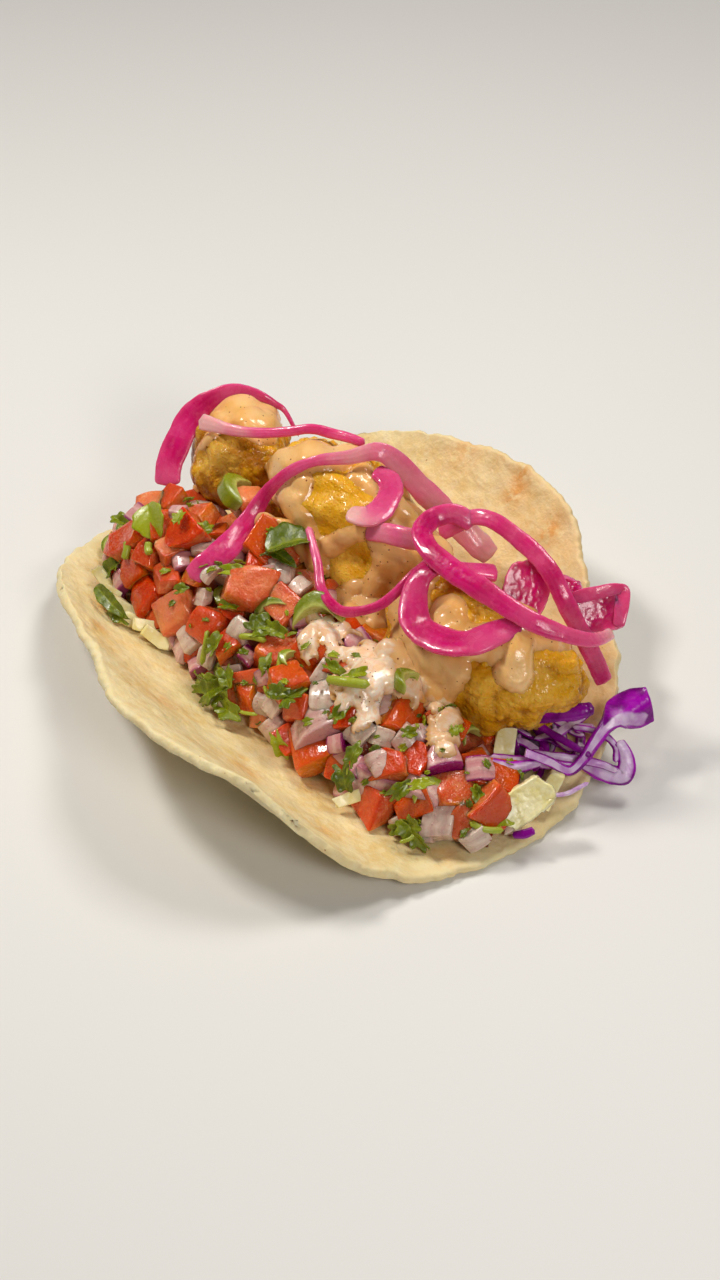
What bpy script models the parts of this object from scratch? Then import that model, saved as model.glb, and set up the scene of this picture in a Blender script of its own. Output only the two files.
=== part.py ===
"""A fried fish taco: an open corn tortilla folded round cabbage, three battered fish pieces, tomato salsa and
pickled onion strips.

Frame: +X runs along the fold, +Y to the flap that the fish leans on, +Z up. The origin is in the middle of the flat
strip under the fold, on which the taco rests. Lengths are in metres, written as millimetres times MM.
Run with: blender --background --python part.py
"""

import math

import bmesh
import bpy
from mathutils import Matrix, Vector, noise
from mathutils.bvhtree import BVHTree

MM = 0.001
GAP = 0.4 * MM  # kept between neighbouring pieces
TACO = "taco"
CUTTERS = "cutters"

# Tortilla: a disc, not quite round, bent about the fold
TORTILLA_RADIUS = 75 * MM
TORTILLA_THICKNESS = 2.2 * MM
TORTILLA_CELLS = 24  # grid cells across the disc
OUTLINE_WAVES = ((2, 3.3 * MM, -44), (3, 3.1 * MM, -164), (4, 1.5 * MM, 81), (5, 1.0 * MM, 14))  # count, height, phase
OUTLINE_DENT = (5 * MM, 64, 10)  # depth, direction and half width of a dent in the rear rim
REST_STRIP = 12 * MM  # width of the flat strip under the fold
FOLD_OFFSET = 2.4 * MM  # the fold is this far off the disc's middle
LIP_END = 85 * MM  # arc length at which a flap's lip has its full angle
BEND_STEPS = 48


class Flap:
    """How one half of the tortilla turns up, in degrees and arc lengths from the middle of the fold."""

    def __init__(self, bend, bend_slope, bend_bow, bend_length, lip):
        self.bend = bend
        self.bend_slope = bend_slope
        self.bend_bow = bend_bow
        self.bend_length = bend_length
        self.lip = lip

    def angle(self, s, along):
        """The flap's slope at arc length s, where along runs from -1 to 1 down the fold."""
        start = REST_STRIP / 2
        full = self.bend + self.bend_slope * along + self.bend_bow * along * along
        turned = min(max((s - start) / (self.bend_length - start), 0), 1)
        curled = min(max((s - self.bend_length) / (LIP_END - self.bend_length), 0), 1)
        return math.radians(full * (0.5 - 0.5 * math.cos(math.pi * turned)) + self.lip * curled)


FRONT_FLAP = Flap(bend=48, bend_slope=6, bend_bow=21, bend_length=60 * MM, lip=-50)
BACK_FLAP = Flap(bend=28, bend_slope=-5, bend_bow=0, bend_length=37 * MM, lip=30)

# Cabbage bed, under the fish
BED_CENTRE = Vector((3, 6)) * MM
BED_HALF = Vector((61, 28)) * MM
BED_YAW = 8
BED_HEIGHT = 12 * MM

# Battered fish: centre, half sizes, yaw, pitch, and where its lumps are read from the noise
FISH = {
    "fish_left": (Vector((-54, 12, 27)) * MM, Vector((17, 14, 15)) * MM, -12, 0, 3.0),
    "fish_middle": (Vector((-15, 20, 29)) * MM, Vector((30, 15, 16)) * MM, 8, 9, 7.0),
    "fish_right": (Vector((38, 20, 24.5)) * MM, Vector((26, 15, 16)) * MM, 20, 6, 12.0),
}
FISH_RINGS = 12
FISH_LUMPS = ((1.3, 0.16), (3.1, 0.07))  # scale of the noise on the unit sphere, height as a share of the radius

# Salsa heap, in front of the fish
SALSA_CENTRE = Vector((0, -7)) * MM
SALSA_HALF = Vector((74, 22.5)) * MM
SALSA_YAW = 5
SALSA_HEIGHT = 22 * MM
SALSA_TILT = 7 * MM  # the heap is this much higher than its middle at -X, and lower at +X
DICE = 9 * MM  # tomato pieces that stand out of the heap
EDGE_WAVE = 0.07  # how far the outline of a heap wanders, as a share of its radius

# Strips: their middle line through these points in mm, width at each end, thickness, and where the flat side faces.
# They are laid in this order, and each is lifted clear of what lies under it.
UP = (0, 0, 1)
OUT = (0.6, -0.4, 0.7)
ONIONS = {
    "onion_thin_loop": (
        [(-13, 5, 36), (-3, 1, 33), (3, -2, 31), (13, -3, 32), (20, 3, 36), (21, 11, 41), (20, 20, 43)],
        (2.4, 2.6), 2.2, OUT,
    ),
    "onion_short_band": ([(0, 13, 40), (5, 15, 42), (10, 17, 43), (14, 20, 43)], (4.8, 4.8), 2.4, OUT),
    "onion_hook": ([(-12, 24, 45), (-8, 25, 44), (-4, 23, 43), (-1, 18, 43), (-1, 14, 42), (-5, 11, 41)], (5, 5.5), 2, UP),
    "onion_long_arc": (
        [(-23, -23, 25), (-23, -14, 29), (-26, -5, 32), (-28, 3, 37), (-21, 13, 45), (-13, 26, 49), (-6, 33, 41),
         (0, 38, 33), (7, 42, 27), (10, 44, 24)],
        (4.5, 4.5), 2, OUT,
    ),
    "onion_cross_band": ([(-59, 3, 41), (-48, 7, 43), (-38, 16, 43), (-30, 24, 42), (-22, 28, 42)], (2.6, 2.2), 2.2, OUT),
    "onion_left_band": (
        [(-60, -7, 24), (-63, -4, 29), (-66, 4, 36), (-65, 10, 39), (-62, 16, 41), (-57, 21, 41), (-53, 25, 38)],
        (5.5, 2), 2, (0.5, -0.7, 0.5),
    ),
    "onion_crescent": (
        [(49, 22, 40), (46, 11, 39), (39, 6, 38), (31, 5, 38), (25, 10, 40), (25, 16, 42), (28, 24, 42), (31, 29, 41)],
        (8, 6), 2.4, UP,
    ),
    "onion_rough_chunk": ([(30, 38, 35), (34, 35, 36), (39, 33, 37), (42, 32, 37)], (9, 8), 3, OUT),
    "onion_end_petal": ([(46, 39, 38), (47, 41, 37), (48, 44, 36), (50, 48, 34)], (8, 8), 2.4, OUT),
    "onion_back_arc": (
        [(12, 26, 41), (18, 31, 48), (25, 34, 49), (37, 36, 46), (47, 36, 40), (51, 38, 33), (54, 41, 24), (56, 43, 17)],
        (4, 4.6), 2, OUT,
    ),
    "onion_front_arc": (
        [(13, 24, 48), (16, 18, 49), (24, 15, 48), (40, 18, 47), (53, 23, 44), (60, 33, 39), (58, 42, 35)],
        (5, 3.4), 2.2, OUT,
    ),
}
SHREDS = {
    "red_cabbage_dark": ([(61, 25, 20), (63, 28, 21), (65, 32, 22)], (4, 4), 1.4, OUT),
    "red_cabbage_wavy": ([(60, 6, 15), (63, 9, 14), (65, 13, 14), (66, 16, 14)], (3, 3), 1.4, OUT),
    "red_cabbage_loop": ([(67, 28, 8), (71, 30, 7), (75, 34, 7), (73, 36, 10), (70, 36, 13)], (4, 3), 1.6, OUT),
    "red_cabbage_leaf": (
        [(64, 13, 9), (69, 22, 10), (68, 30, 12), (66, 37, 14), (65, 42, 15), (67, 48, 16)], (3, 10), 1.6, OUT,
    ),
    "white_cabbage": ([(71, 4, 9), (71, 8, 10), (72, 13, 11)], (6, 7), 3.5, OUT),
}
STRIP_CORNERS = 6  # points round a strip's section
STEPS_PER_SPAN = 2  # sections between two of a strip's points
LIFT_REACH = 12 * MM  # a lift fades out over this length of a strip


def clear_scene():
    """Empties the scene and makes the two collections."""
    for obj in list(bpy.data.objects):
        bpy.data.objects.remove(obj)
    for name in (TACO, CUTTERS):
        bpy.context.scene.collection.children.link(bpy.data.collections.new(name))


def material(name, colour, roughness):
    """A plain Principled material."""
    made = bpy.data.materials.new(name)
    made.use_nodes = True
    shader = made.node_tree.nodes["Principled BSDF"]
    shader.inputs["Base Color"].default_value = (*colour, 1)
    shader.inputs["Roughness"].default_value = roughness
    made.diffuse_color = (*colour, 1)
    return made


def add_object(name, shape, finish):
    """Makes a smooth shaded object of triangles from a bmesh, and frees it."""
    bmesh.ops.triangulate(shape, faces=shape.faces)
    mesh = bpy.data.meshes.new(name)
    shape.to_mesh(mesh)
    shape.free()
    mesh.shade_smooth()
    mesh.materials.append(finish)
    obj = bpy.data.objects.new(name, mesh)
    bpy.data.collections[TACO].objects.link(obj)
    return obj


def fold(x, v):
    """The tortilla's middle surface at x along the fold and arc length v across it: (y, z)."""
    flap = BACK_FLAP if v > 0 else FRONT_FLAP
    along = x / TORTILLA_RADIUS
    step = abs(v) / BEND_STEPS
    y = z = 0
    for i in range(BEND_STEPS):
        angle = flap.angle((i + 0.5) * step, along)
        y += math.cos(angle) * step
        z += math.sin(angle) * step
    return math.copysign(y, v), z + TORTILLA_THICKNESS / 2


def square_to_disc(a, b):
    """A point of the square from -1 to 1, moved to the unit disc."""
    return a * math.sqrt(1 - b * b / 2), b * math.sqrt(1 - a * a / 2)


def tortilla_radius(angle):
    """The uneven outline of the flat tortilla."""
    waves = sum(height * math.cos(count * angle - math.radians(phase)) for count, height, phase in OUTLINE_WAVES)
    depth, towards, spread = OUTLINE_DENT
    dent = depth * math.exp(-(((math.degrees(angle) - towards) / spread) ** 2))
    return TORTILLA_RADIUS + waves - dent


def make_tortilla(finish):
    """A grid pulled to a disc, folded, and given its thickness."""
    grid = bmesh.new()
    bmesh.ops.create_grid(grid, x_segments=TORTILLA_CELLS, y_segments=TORTILLA_CELLS, size=1)
    for vertex in grid.verts:
        a, b = square_to_disc(vertex.co.x, vertex.co.y)
        radius = tortilla_radius(math.atan2(b, a))
        x, v = a * radius, b * radius + FOLD_OFFSET
        vertex.co = Vector((x, *fold(x, v)))
    obj = add_object("tortilla", grid, finish)
    shell = obj.modifiers.new("thickness", "SOLIDIFY")
    shell.thickness = TORTILLA_THICKNESS
    shell.offset = 0
    shell.use_even_offset = True
    return obj


def lumps(direction, seed):
    """The uneven radius of a battered piece in a direction from its middle, as a share of the smooth one."""
    place = Vector((seed, -seed, 0.5 * seed))
    return 1 + sum(height * noise.noise(direction * scale + place) for scale, height in FISH_LUMPS)


def make_fish(name, finish):
    """A lumpy battered piece, from a sphere."""
    centre, half, yaw, pitch, seed = FISH[name]
    ball = bmesh.new()
    bmesh.ops.create_uvsphere(ball, u_segments=2 * FISH_RINGS, v_segments=FISH_RINGS, radius=1)
    bmesh.ops.rotate(ball, verts=ball.verts, matrix=Matrix.Rotation(math.radians(90), 3, "Y"))
    for vertex in ball.verts:
        direction = vertex.co.normalized()
        vertex.co = Vector(a * b for a, b in zip(direction, half)) * lumps(direction, seed)
    obj = add_object(name, ball, finish)
    obj.location = centre
    obj.rotation_euler = (0, math.radians(pitch), math.radians(yaw))
    return obj


def world_mesh(obj):
    """The object as it stands, modifiers included, as a bmesh in world space."""
    bpy.context.view_layer.update()
    seen = obj.evaluated_get(bpy.context.evaluated_depsgraph_get())
    made = bmesh.new()
    made.from_mesh(seen.to_mesh())
    seen.to_mesh_clear()
    made.transform(obj.matrix_world)
    return made


def make_cutter(obj):
    """A hidden copy of a piece before its own cuts, larger by GAP all round, that cuts its neighbours back from it."""
    bpy.context.view_layer.update()
    grown = bmesh.new()
    grown.from_mesh(obj.data)
    grown.transform(obj.matrix_world)
    grown.normal_update()
    moves = [vertex.normal * GAP * min(vertex.calc_shell_factor(), 3) for vertex in grown.verts]
    for vertex, move in zip(grown.verts, moves):
        vertex.co += move
    mesh = bpy.data.meshes.new(obj.name + "_cutter")
    grown.to_mesh(mesh)
    grown.free()
    cutter = bpy.data.objects.new(mesh.name, mesh)
    bpy.data.collections[CUTTERS].objects.link(cutter)
    cutter.hide_render = True
    cutter.display_type = "WIRE"
    return cutter


def cut_clear(obj, neighbours):
    """Cuts a piece back so that it stays GAP away from its neighbours."""
    for neighbour in neighbours:
        cut = obj.modifiers.new("clear_of_" + neighbour.name, "BOOLEAN")
        cut.operation = "DIFFERENCE"
        cut.object = make_cutter(neighbour)


class Surface:
    """The top of the pieces laid so far, found by looking straight down."""

    def __init__(self, objects):
        self.trees = []
        for obj in objects:
            body = world_mesh(obj)
            self.trees.append(BVHTree.FromBMesh(body))
            body.free()

    def height(self, x, y):
        """The highest surface over a point, or 0 over the table."""
        hits = (tree.ray_cast(Vector((x, y, 1)), Vector((0, 0, -1)))[0] for tree in self.trees)
        return max((hit.z for hit in hits if hit), default=0)


def make_heap(name, finish, cells, centre, half, yaw, power, under, over):
    """A heap between two surfaces: a grid pulled to a superellipse, once for the top and once for the underside."""
    turn = Matrix.Rotation(math.radians(yaw), 2)
    heap = bmesh.new()
    for top in (True, False):
        made = bmesh.ops.create_grid(heap, x_segments=cells[0], y_segments=cells[1], size=1)["verts"]
        for vertex in made:
            a, b = square_to_disc(vertex.co.x, vertex.co.y)
            around, out = math.atan2(b, a), math.hypot(a, b)
            c, s = math.cos(around), math.sin(around)
            edge = (abs(c) ** power + abs(s) ** power) ** (-1 / power)
            edge *= 1 + EDGE_WAVE * noise.noise(Vector((c, s, 0)) * 4)
            plan = centre + turn @ Vector((out * edge * c * half.x, out * edge * s * half.y))
            low = under(plan.x, plan.y)
            high = max(over(plan.x, plan.y, out), low + 1 * MM)
            share = 0.5 if out > 0.999 else 1 if top else 0
            vertex.co = Vector((plan.x, plan.y, low + (high - low) * share))
        if not top:
            bmesh.ops.reverse_faces(heap, faces=list({face for vertex in made for face in vertex.link_faces}))
    bmesh.ops.remove_doubles(heap, verts=heap.verts, dist=0.01 * MM)
    return add_object(name, heap, finish)


def bed_top(x, y, out):
    """The cabbage bed: flat in the middle, falling to its edge, with shallow lumps."""
    ripple = 1.5 * MM * noise.noise(Vector((x, y, 0)) / (9 * MM))
    return BED_HEIGHT * (1 - 0.65 * out**4) + ripple


def salsa_top(x, y, out):
    """The salsa heap: steep at its edge, flat on top, stepped by the diced pieces that stand out of it."""
    step = noise.cell(Vector((x, y, 0)) / DICE) * 5 * MM
    tilt = -SALSA_TILT * x / SALSA_HALF.x
    return (SALSA_HEIGHT + tilt) * (1 - out**5) + 4 * MM + step * (1 - out**4)


def smooth_path(points):
    """Points of a Catmull-Rom curve through the given ones."""
    ends = [2 * points[0] - points[1], *points, 2 * points[-1] - points[-2]]
    path = []
    for before, start, end, after in zip(ends, ends[1:], ends[2:], ends[3:]):
        for i in range(STEPS_PER_SPAN):
            t = i / STEPS_PER_SPAN
            path.append(
                0.5 * (2 * start + (end - before) * t + (2 * before - 5 * start + 4 * end - after) * t**2
                       + (3 * start - before - 3 * end + after) * t**3)
            )
    return [*path, points[-1]]


def make_strip(name, strips, finish, laid):
    """A ribbon along a smooth curve, with bevelled edges and square ends, lifted clear of the surface laid."""
    points, (first, last), thickness, facing = strips[name]
    path = smooth_path([Vector(point) * MM for point in points])
    facing = Vector(facing).normalized()
    rings = []
    for i, middle in enumerate(path):
        along = (path[min(i + 1, len(path) - 1)] - path[max(i - 1, 0)]).normalized()
        across = along.cross(facing).normalized()
        normal = across.cross(along)
        share = i / (len(path) - 1)
        rings.append((across * (first + (last - first) * share) * MM / 2, normal * thickness * MM / 2))

    lifts = []
    for middle, (across, normal) in zip(path, rings):
        spots = [middle + across * side for side in (-1, -0.5, 0, 0.5, 1)]
        below = abs(normal.z) + 2 * GAP
        lifts.append(max(0, *(laid.height(spot.x, spot.y) + below - spot.z for spot in spots)))

    ribbon = bmesh.new()
    loops = []
    for middle, (across, normal) in zip(path, rings):
        lift = max(
            other_lift * (0.5 + 0.5 * math.cos(math.pi * min((middle - other).length / LIFT_REACH, 1)))
            for other, other_lift in zip(path, lifts)
        )
        loop = []
        for corner in range(STRIP_CORNERS):
            turn = 2 * math.pi * corner / STRIP_CORNERS
            wide, thick = math.cos(turn), math.sin(turn) / math.sin(math.pi / 3)
            loop.append(ribbon.verts.new(middle + Vector((0, 0, lift)) + across * wide + normal * thick))
        loops.append(loop)
    for loop, following in zip(loops, loops[1:]):
        for corner in range(STRIP_CORNERS):
            after = (corner + 1) % STRIP_CORNERS
            ribbon.faces.new((loop[corner], loop[after], following[after], following[corner]))
    ribbon.faces.new(loops[0])
    ribbon.faces.new(loops[-1])
    bmesh.ops.recalc_face_normals(ribbon, faces=ribbon.faces)
    return add_object(name, ribbon, finish)


def main():
    clear_scene()
    corn = material("corn_tortilla", (0.86, 0.72, 0.40), 0.75)
    batter = material("fried_batter", (0.62, 0.33, 0.06), 0.45)
    cabbage = material("red_cabbage", (0.35, 0.05, 0.32), 0.4)
    white = material("white_cabbage", (0.85, 0.84, 0.62), 0.4)
    salsa = material("tomato_salsa", (0.70, 0.12, 0.06), 0.3)
    onion = material("pickled_onion", (0.72, 0.06, 0.28), 0.25)

    tortilla = make_tortilla(corn)
    fish = []
    for name in FISH:
        fish.append(make_fish(name, batter))
        cut_clear(fish[-1], fish[-2:-1])
    floor = Surface([tortilla])
    bed = make_heap(
        "cabbage_bed", cabbage, (22, 10), BED_CENTRE, BED_HALF, BED_YAW, 2.3,
        lambda x, y: floor.height(x, y) + 1 * MM, bed_top,
    )
    cut_clear(bed, fish)
    heap = make_heap(
        "salsa_heap", salsa, (38, 15), SALSA_CENTRE, SALSA_HALF, SALSA_YAW, 2.6,
        lambda x, y: floor.height(x, y) + 1 * MM, salsa_top,
    )
    cut_clear(heap, [*fish, bed])

    finishes = {"onion": onion, "red": cabbage, "white": white}
    laid = [tortilla, bed]
    for name in SHREDS:
        laid.append(make_strip(name, SHREDS, finishes[name.split("_")[0]], Surface(laid)))
        cut_clear(laid[-1], [*fish, heap, *laid[2:-1]])
    laid += [*fish, heap]
    for name in ONIONS:
        laid.append(make_strip(name, ONIONS, onion, Surface(laid)))


main()
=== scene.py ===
"""The looks of a fried fish taco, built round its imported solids.

+X runs along the fold, +Y to the flap that the fish leans on, +Z up, as in the frame. Lengths are in metres,
written as millimetres times MM. The tortilla, the battered fish, the salsa, the cabbage and the onion strips
are modelled again at full detail in the places of their solids. The sauce, the herbs and the loose bits are
added.
"""

import itertools
import math
import random

import bmesh
import bpy
import numpy as np
from mathutils import Matrix, Vector, noise
from mathutils.bvhtree import BVHTree


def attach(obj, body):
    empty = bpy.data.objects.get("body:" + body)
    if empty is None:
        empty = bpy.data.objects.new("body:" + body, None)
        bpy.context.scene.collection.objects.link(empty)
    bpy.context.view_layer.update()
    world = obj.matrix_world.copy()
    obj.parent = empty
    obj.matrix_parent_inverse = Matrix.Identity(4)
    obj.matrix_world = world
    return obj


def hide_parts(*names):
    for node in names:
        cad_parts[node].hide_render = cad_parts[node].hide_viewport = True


MM = 0.001
BODY = "root"

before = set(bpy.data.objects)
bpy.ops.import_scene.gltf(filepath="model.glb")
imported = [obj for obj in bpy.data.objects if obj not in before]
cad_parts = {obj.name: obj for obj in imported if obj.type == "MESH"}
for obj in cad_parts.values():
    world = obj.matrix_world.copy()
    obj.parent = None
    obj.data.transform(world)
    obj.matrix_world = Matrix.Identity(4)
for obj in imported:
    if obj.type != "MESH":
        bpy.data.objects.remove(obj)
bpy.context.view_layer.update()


def mm(numbers):
    """Numbers in mm, as an array in metres."""
    return np.array(numbers, float) * MM


# ---------------------------------------------------------------- noise


def chance(cells, salt=0):
    """A number from 0 to 1 for each whole-number cell, always the same for the same cell."""
    mixed = cells[:, 0] * 374761393 + cells[:, 1] * 668265263 + cells[:, 2] * 1442695041 + salt * 974634777
    mixed = mixed & 0xFFFFFFFF
    mixed = ((mixed ^ (mixed >> 13)) * 1274126177) & 0xFFFFFFFF
    mixed ^= mixed >> 16
    return (mixed & 0xFFFF) / 65536


def perlin(points, seed=0):
    """Smooth noise from about -1 to 1 at each point, with one bump to each unit of length."""
    points = np.asarray(points, float) + 31.7 * seed
    cell = np.floor(points).astype(np.int64)
    part = points - cell
    fade = part**3 * (part * (part * 6 - 15) + 10)
    total = np.zeros(len(points))
    for corner in itertools.product((0, 1), repeat=3):
        turn = 2 * math.pi * chance(cell + corner)
        rise = 2 * chance(cell + corner, 1) - 1
        flat = np.sqrt(1 - rise**2)
        gradient = np.stack((flat * np.cos(turn), flat * np.sin(turn), rise), axis=1)
        share = np.where(corner, fade, 1 - fade).prod(axis=1)
        total += share * (gradient * (part - corner)).sum(axis=1)
    return 1.5 * total


def spots_near(points, inset, salts):
    """The 27 cells round each point, and how far off the spot is that each of them holds."""
    cell = np.floor(points).astype(np.int64)
    for step in itertools.product((-1, 0, 1), repeat=3):
        at = cell + step
        spot = at + np.stack([inset + (1 - 2 * inset) * chance(at, salt) for salt in salts], axis=1)
        yield at, np.linalg.norm(points - spot, axis=1)


def pebbles(points, size, seed):
    """Rounded bumps packed side by side: 0 in the creases between them, rising to 1."""
    nearest = np.full(len(points), 9.0)
    second = nearest.copy()
    for _, away in spots_near(points / size + 17.3 * seed, 0.1, (2, 3, 4)):
        second = np.minimum(second, np.maximum(nearest, away))
        nearest = np.minimum(nearest, away)
    return np.sqrt(np.clip(1.6 * (second - nearest), 0, 1))


def bubbles(points, size, seed):
    """Round blisters of different heights, one to each cell, from 0 between them to 1."""
    best = np.zeros(len(points))
    for cells, away in spots_near(points / size + 11.9 * seed, 0.2, (5, 6, 7)):
        away = away / (0.25 + 0.3 * chance(cells, 8))
        best = np.maximum(best, np.sqrt(np.clip(1 - away**2, 0, 1)) * (0.3 + 0.7 * chance(cells, 9)))
    return best


def fractal(points, size, octaves, seed):
    """Layers of noise: bumps of the given size, then each layer half as large and half as high."""
    layers = (perlin(np.asarray(points) / size * 2**i, seed + i) / 2**i for i in range(octaves))
    return sum(layers)


def ridges(points, size, seed):
    """Noise folded over at zero: rounded lumps between sharp creases, from 0 in the creases to about 1."""
    return np.abs(perlin(points / size, seed))


# ---------------------------------------------------------------- shapes
# A shape is its points, its faces and its values for each point.


def join(shapes):
    """One shape from several with the same kinds of values."""
    points, faces, values, count = [], [], {}, 0
    for part_points, part_faces, part_values in shapes:
        points.append(part_points)
        faces += [tuple(corner + count for corner in face) for face in part_faces]
        for key, value in part_values.items():
            values.setdefault(key, []).append(np.broadcast_to(value, len(part_points)))
        count += len(part_points)
    return np.concatenate(points), faces, {key: np.concatenate(value) for key, value in values.items()}


def new_mesh(name, points, faces):
    """A mesh in the file."""
    mesh = bpy.data.meshes.new(name)
    mesh.from_pydata(np.asarray(points).tolist(), [], faces)
    return mesh


def new_object(name, data):
    """An object in the scene."""
    obj = bpy.data.objects.new(name, data)
    bpy.context.scene.collection.objects.link(obj)
    return obj


def add_piece(name, shape, finish, slot, *nodes):
    """A smooth mesh object that rides on the body and stands for the given nodes."""
    points, faces, values = shape
    mesh = new_mesh(name, points, faces)
    for key, value in values.items():
        layer = mesh.attributes.new(key, "FLOAT", "POINT")
        layer.data.foreach_set("value", np.ascontiguousarray(value, np.float32))
    mesh.materials.append(finish)
    mesh.shade_smooth()
    obj = new_object(name, mesh)
    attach(obj, BODY)
    if nodes:
        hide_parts(*nodes)


def grid_faces(rows, columns, closed=False):
    """Quads between the points of a grid, row after row. A closed grid joins its last column to its first."""
    faces = []
    for row, column in itertools.product(range(rows - 1), range(columns if closed else columns - 1)):
        first, second = row * columns + column, row * columns + (column + 1) % columns
        faces.append((first, second, second + columns, first + columns))
    return faces


def unit(vectors):
    """The vectors, each of length 1."""
    vectors = np.asarray(vectors, float)
    return vectors / np.maximum(np.linalg.norm(vectors, axis=-1, keepdims=True), 1e-12)


def grid_normals(lattice):
    """Unit vectors out of the surface of a grid of points."""
    return unit(np.cross(np.gradient(lattice, axis=0), np.gradient(lattice, axis=1)))


def sheet(lattice, thickness, values):
    """A closed thin sheet round a grid of points."""
    rows, columns, _ = lattice.shape
    half = grid_normals(lattice) * thickness / 2
    points = np.concatenate((lattice + half, lattice - half)).reshape(-1, 3)
    count = rows * columns
    faces = grid_faces(rows, columns)
    faces += [tuple(corner + count for corner in reversed(face)) for face in faces]
    index = np.arange(count).reshape(rows, columns)
    rim = np.concatenate((index[0, :], index[1:, -1], index[-1, -2::-1], index[-2:0:-1, 0]))
    faces += [(int(b), int(a), int(a + count), int(b + count)) for a, b in zip(rim, np.roll(rim, -1))]
    return points, faces, {key: np.tile(np.ravel(value), 2) for key, value in values.items()}


def square(reach, steps):
    """A grid over a square from -reach to reach, as two planes of coordinates."""
    line = np.linspace(-reach, reach, steps)
    return np.meshgrid(line, line, indexing="ij")


def to_disc(a, b):
    """Points of the square from -1 to 1, moved onto the disc inside it."""
    return a * np.sqrt(1 - b**2 / 2), b * np.sqrt(1 - a**2 / 2)


def smooth_path(points, steps):
    """Points of a Catmull-Rom curve through the given ones."""
    points = [np.asarray(point, float) for point in points]
    ends = [2 * points[0] - points[1], *points, 2 * points[-1] - points[-2]]
    path = []
    for before, start, end, after in zip(ends, ends[1:], ends[2:], ends[3:]):
        for i in range(steps):
            t = i / steps
            path.append(
                0.5 * (2 * start + (end - before) * t + (2 * before - 5 * start + 4 * end - after) * t**2
                       + (3 * start - before - 3 * end + after) * t**3)
            )
    return np.array([*path, points[-1]])


def icosphere(level):
    """Directions and triangles of a fine ball."""
    ball = bmesh.new()
    bmesh.ops.create_icosphere(ball, subdivisions=level, radius=1)
    directions = np.array([vertex.co[:] for vertex in ball.verts])
    faces = [tuple(vertex.index for vertex in face.verts) for face in ball.faces]
    ball.free()
    return directions, faces


def turned(yaw=0, pitch=0, roll=0):
    """A rotation as a numpy matrix, from degrees about Z, Y and X."""
    turn = Matrix.Rotation(math.radians(yaw), 3, "Z") @ Matrix.Rotation(math.radians(pitch), 3, "Y")
    return np.array(turn @ Matrix.Rotation(math.radians(roll), 3, "X"))


def remeshed(shape, voxel, smoothing):
    """The shape as one even skin of quads, smoothed: (points, faces, normals)."""
    mesh = new_mesh("skin", shape[0], shape[1])
    obj = new_object("skin", mesh)
    skin = obj.modifiers.new("skin", "REMESH")
    skin.mode = "VOXEL"
    skin.voxel_size = voxel
    soft = obj.modifiers.new("soft", "SMOOTH")
    soft.factor = 0.6
    soft.iterations = smoothing
    bpy.context.view_layer.update()
    made = bpy.data.meshes.new_from_object(obj.evaluated_get(bpy.context.evaluated_depsgraph_get()))
    points, normals = np.empty((2, 3 * len(made.vertices)), np.float32)
    made.vertices.foreach_get("co", points)
    made.vertices.foreach_get("normal", normals)
    faces = [tuple(face.vertices) for face in made.polygons]
    bpy.data.objects.remove(obj)
    bpy.data.meshes.remove(mesh)
    bpy.data.meshes.remove(made)
    return points.reshape(-1, 3).astype(float), faces, normals.reshape(-1, 3).astype(float)


def node_shape(*names):
    """The frame's own solids as one shape."""
    shapes = []
    for name in names:
        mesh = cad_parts[name].data
        points = np.array([vertex.co[:] for vertex in mesh.vertices])
        shapes.append((points, [tuple(face.vertices) for face in mesh.polygons], {}))
    return join(shapes)


def keep_points(shape, keep):
    """The shape's faces whose points are all kept, without the points that no face uses."""
    points, faces, values = shape
    faces = [face for face in faces if all(keep[corner] for corner in face)]
    used = np.unique([corner for face in faces for corner in face])
    place = np.full(len(points), -1)
    place[used] = np.arange(len(used))
    faces = [tuple(int(place[corner]) for corner in face) for face in faces]
    return points[used], faces, {key: value[used] for key, value in values.items()}


CLEARANCE = 0.3 * MM  # between a raised piece and the ground


class Ground:
    """Shapes or nodes as something to lie on."""

    def __init__(self, *shapes):
        self.trees = [BVHTree.FromPolygons([tuple(p) for p in points], faces) for points, faces, _ in shapes]

    def height(self, x, y):
        """The highest surface over a point."""
        hits = (tree.ray_cast(Vector((x, y, 1)), Vector((0, 0, -1)))[0] for tree in self.trees)
        return max((hit.z for hit in hits if hit), default=0.0)

    def nearest(self, point):
        """The nearest surface point and its normal."""
        found = (tree.find_nearest(Vector(point)) for tree in self.trees)
        best = min((hit for hit in found if hit[0]), key=lambda hit: hit[3])
        return np.array(best[0]), np.array(best[1])


def raised(shape, ground):
    """The shape lifted until none of it lies under the ground."""
    points, faces, values = shape
    sunk = max(ground.height(x, y) + CLEARANCE - z for x, y, z in points[::5])
    return points + (0, 0, max(sunk, 0)), faces, values


# ---------------------------------------------------------------- materials


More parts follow.
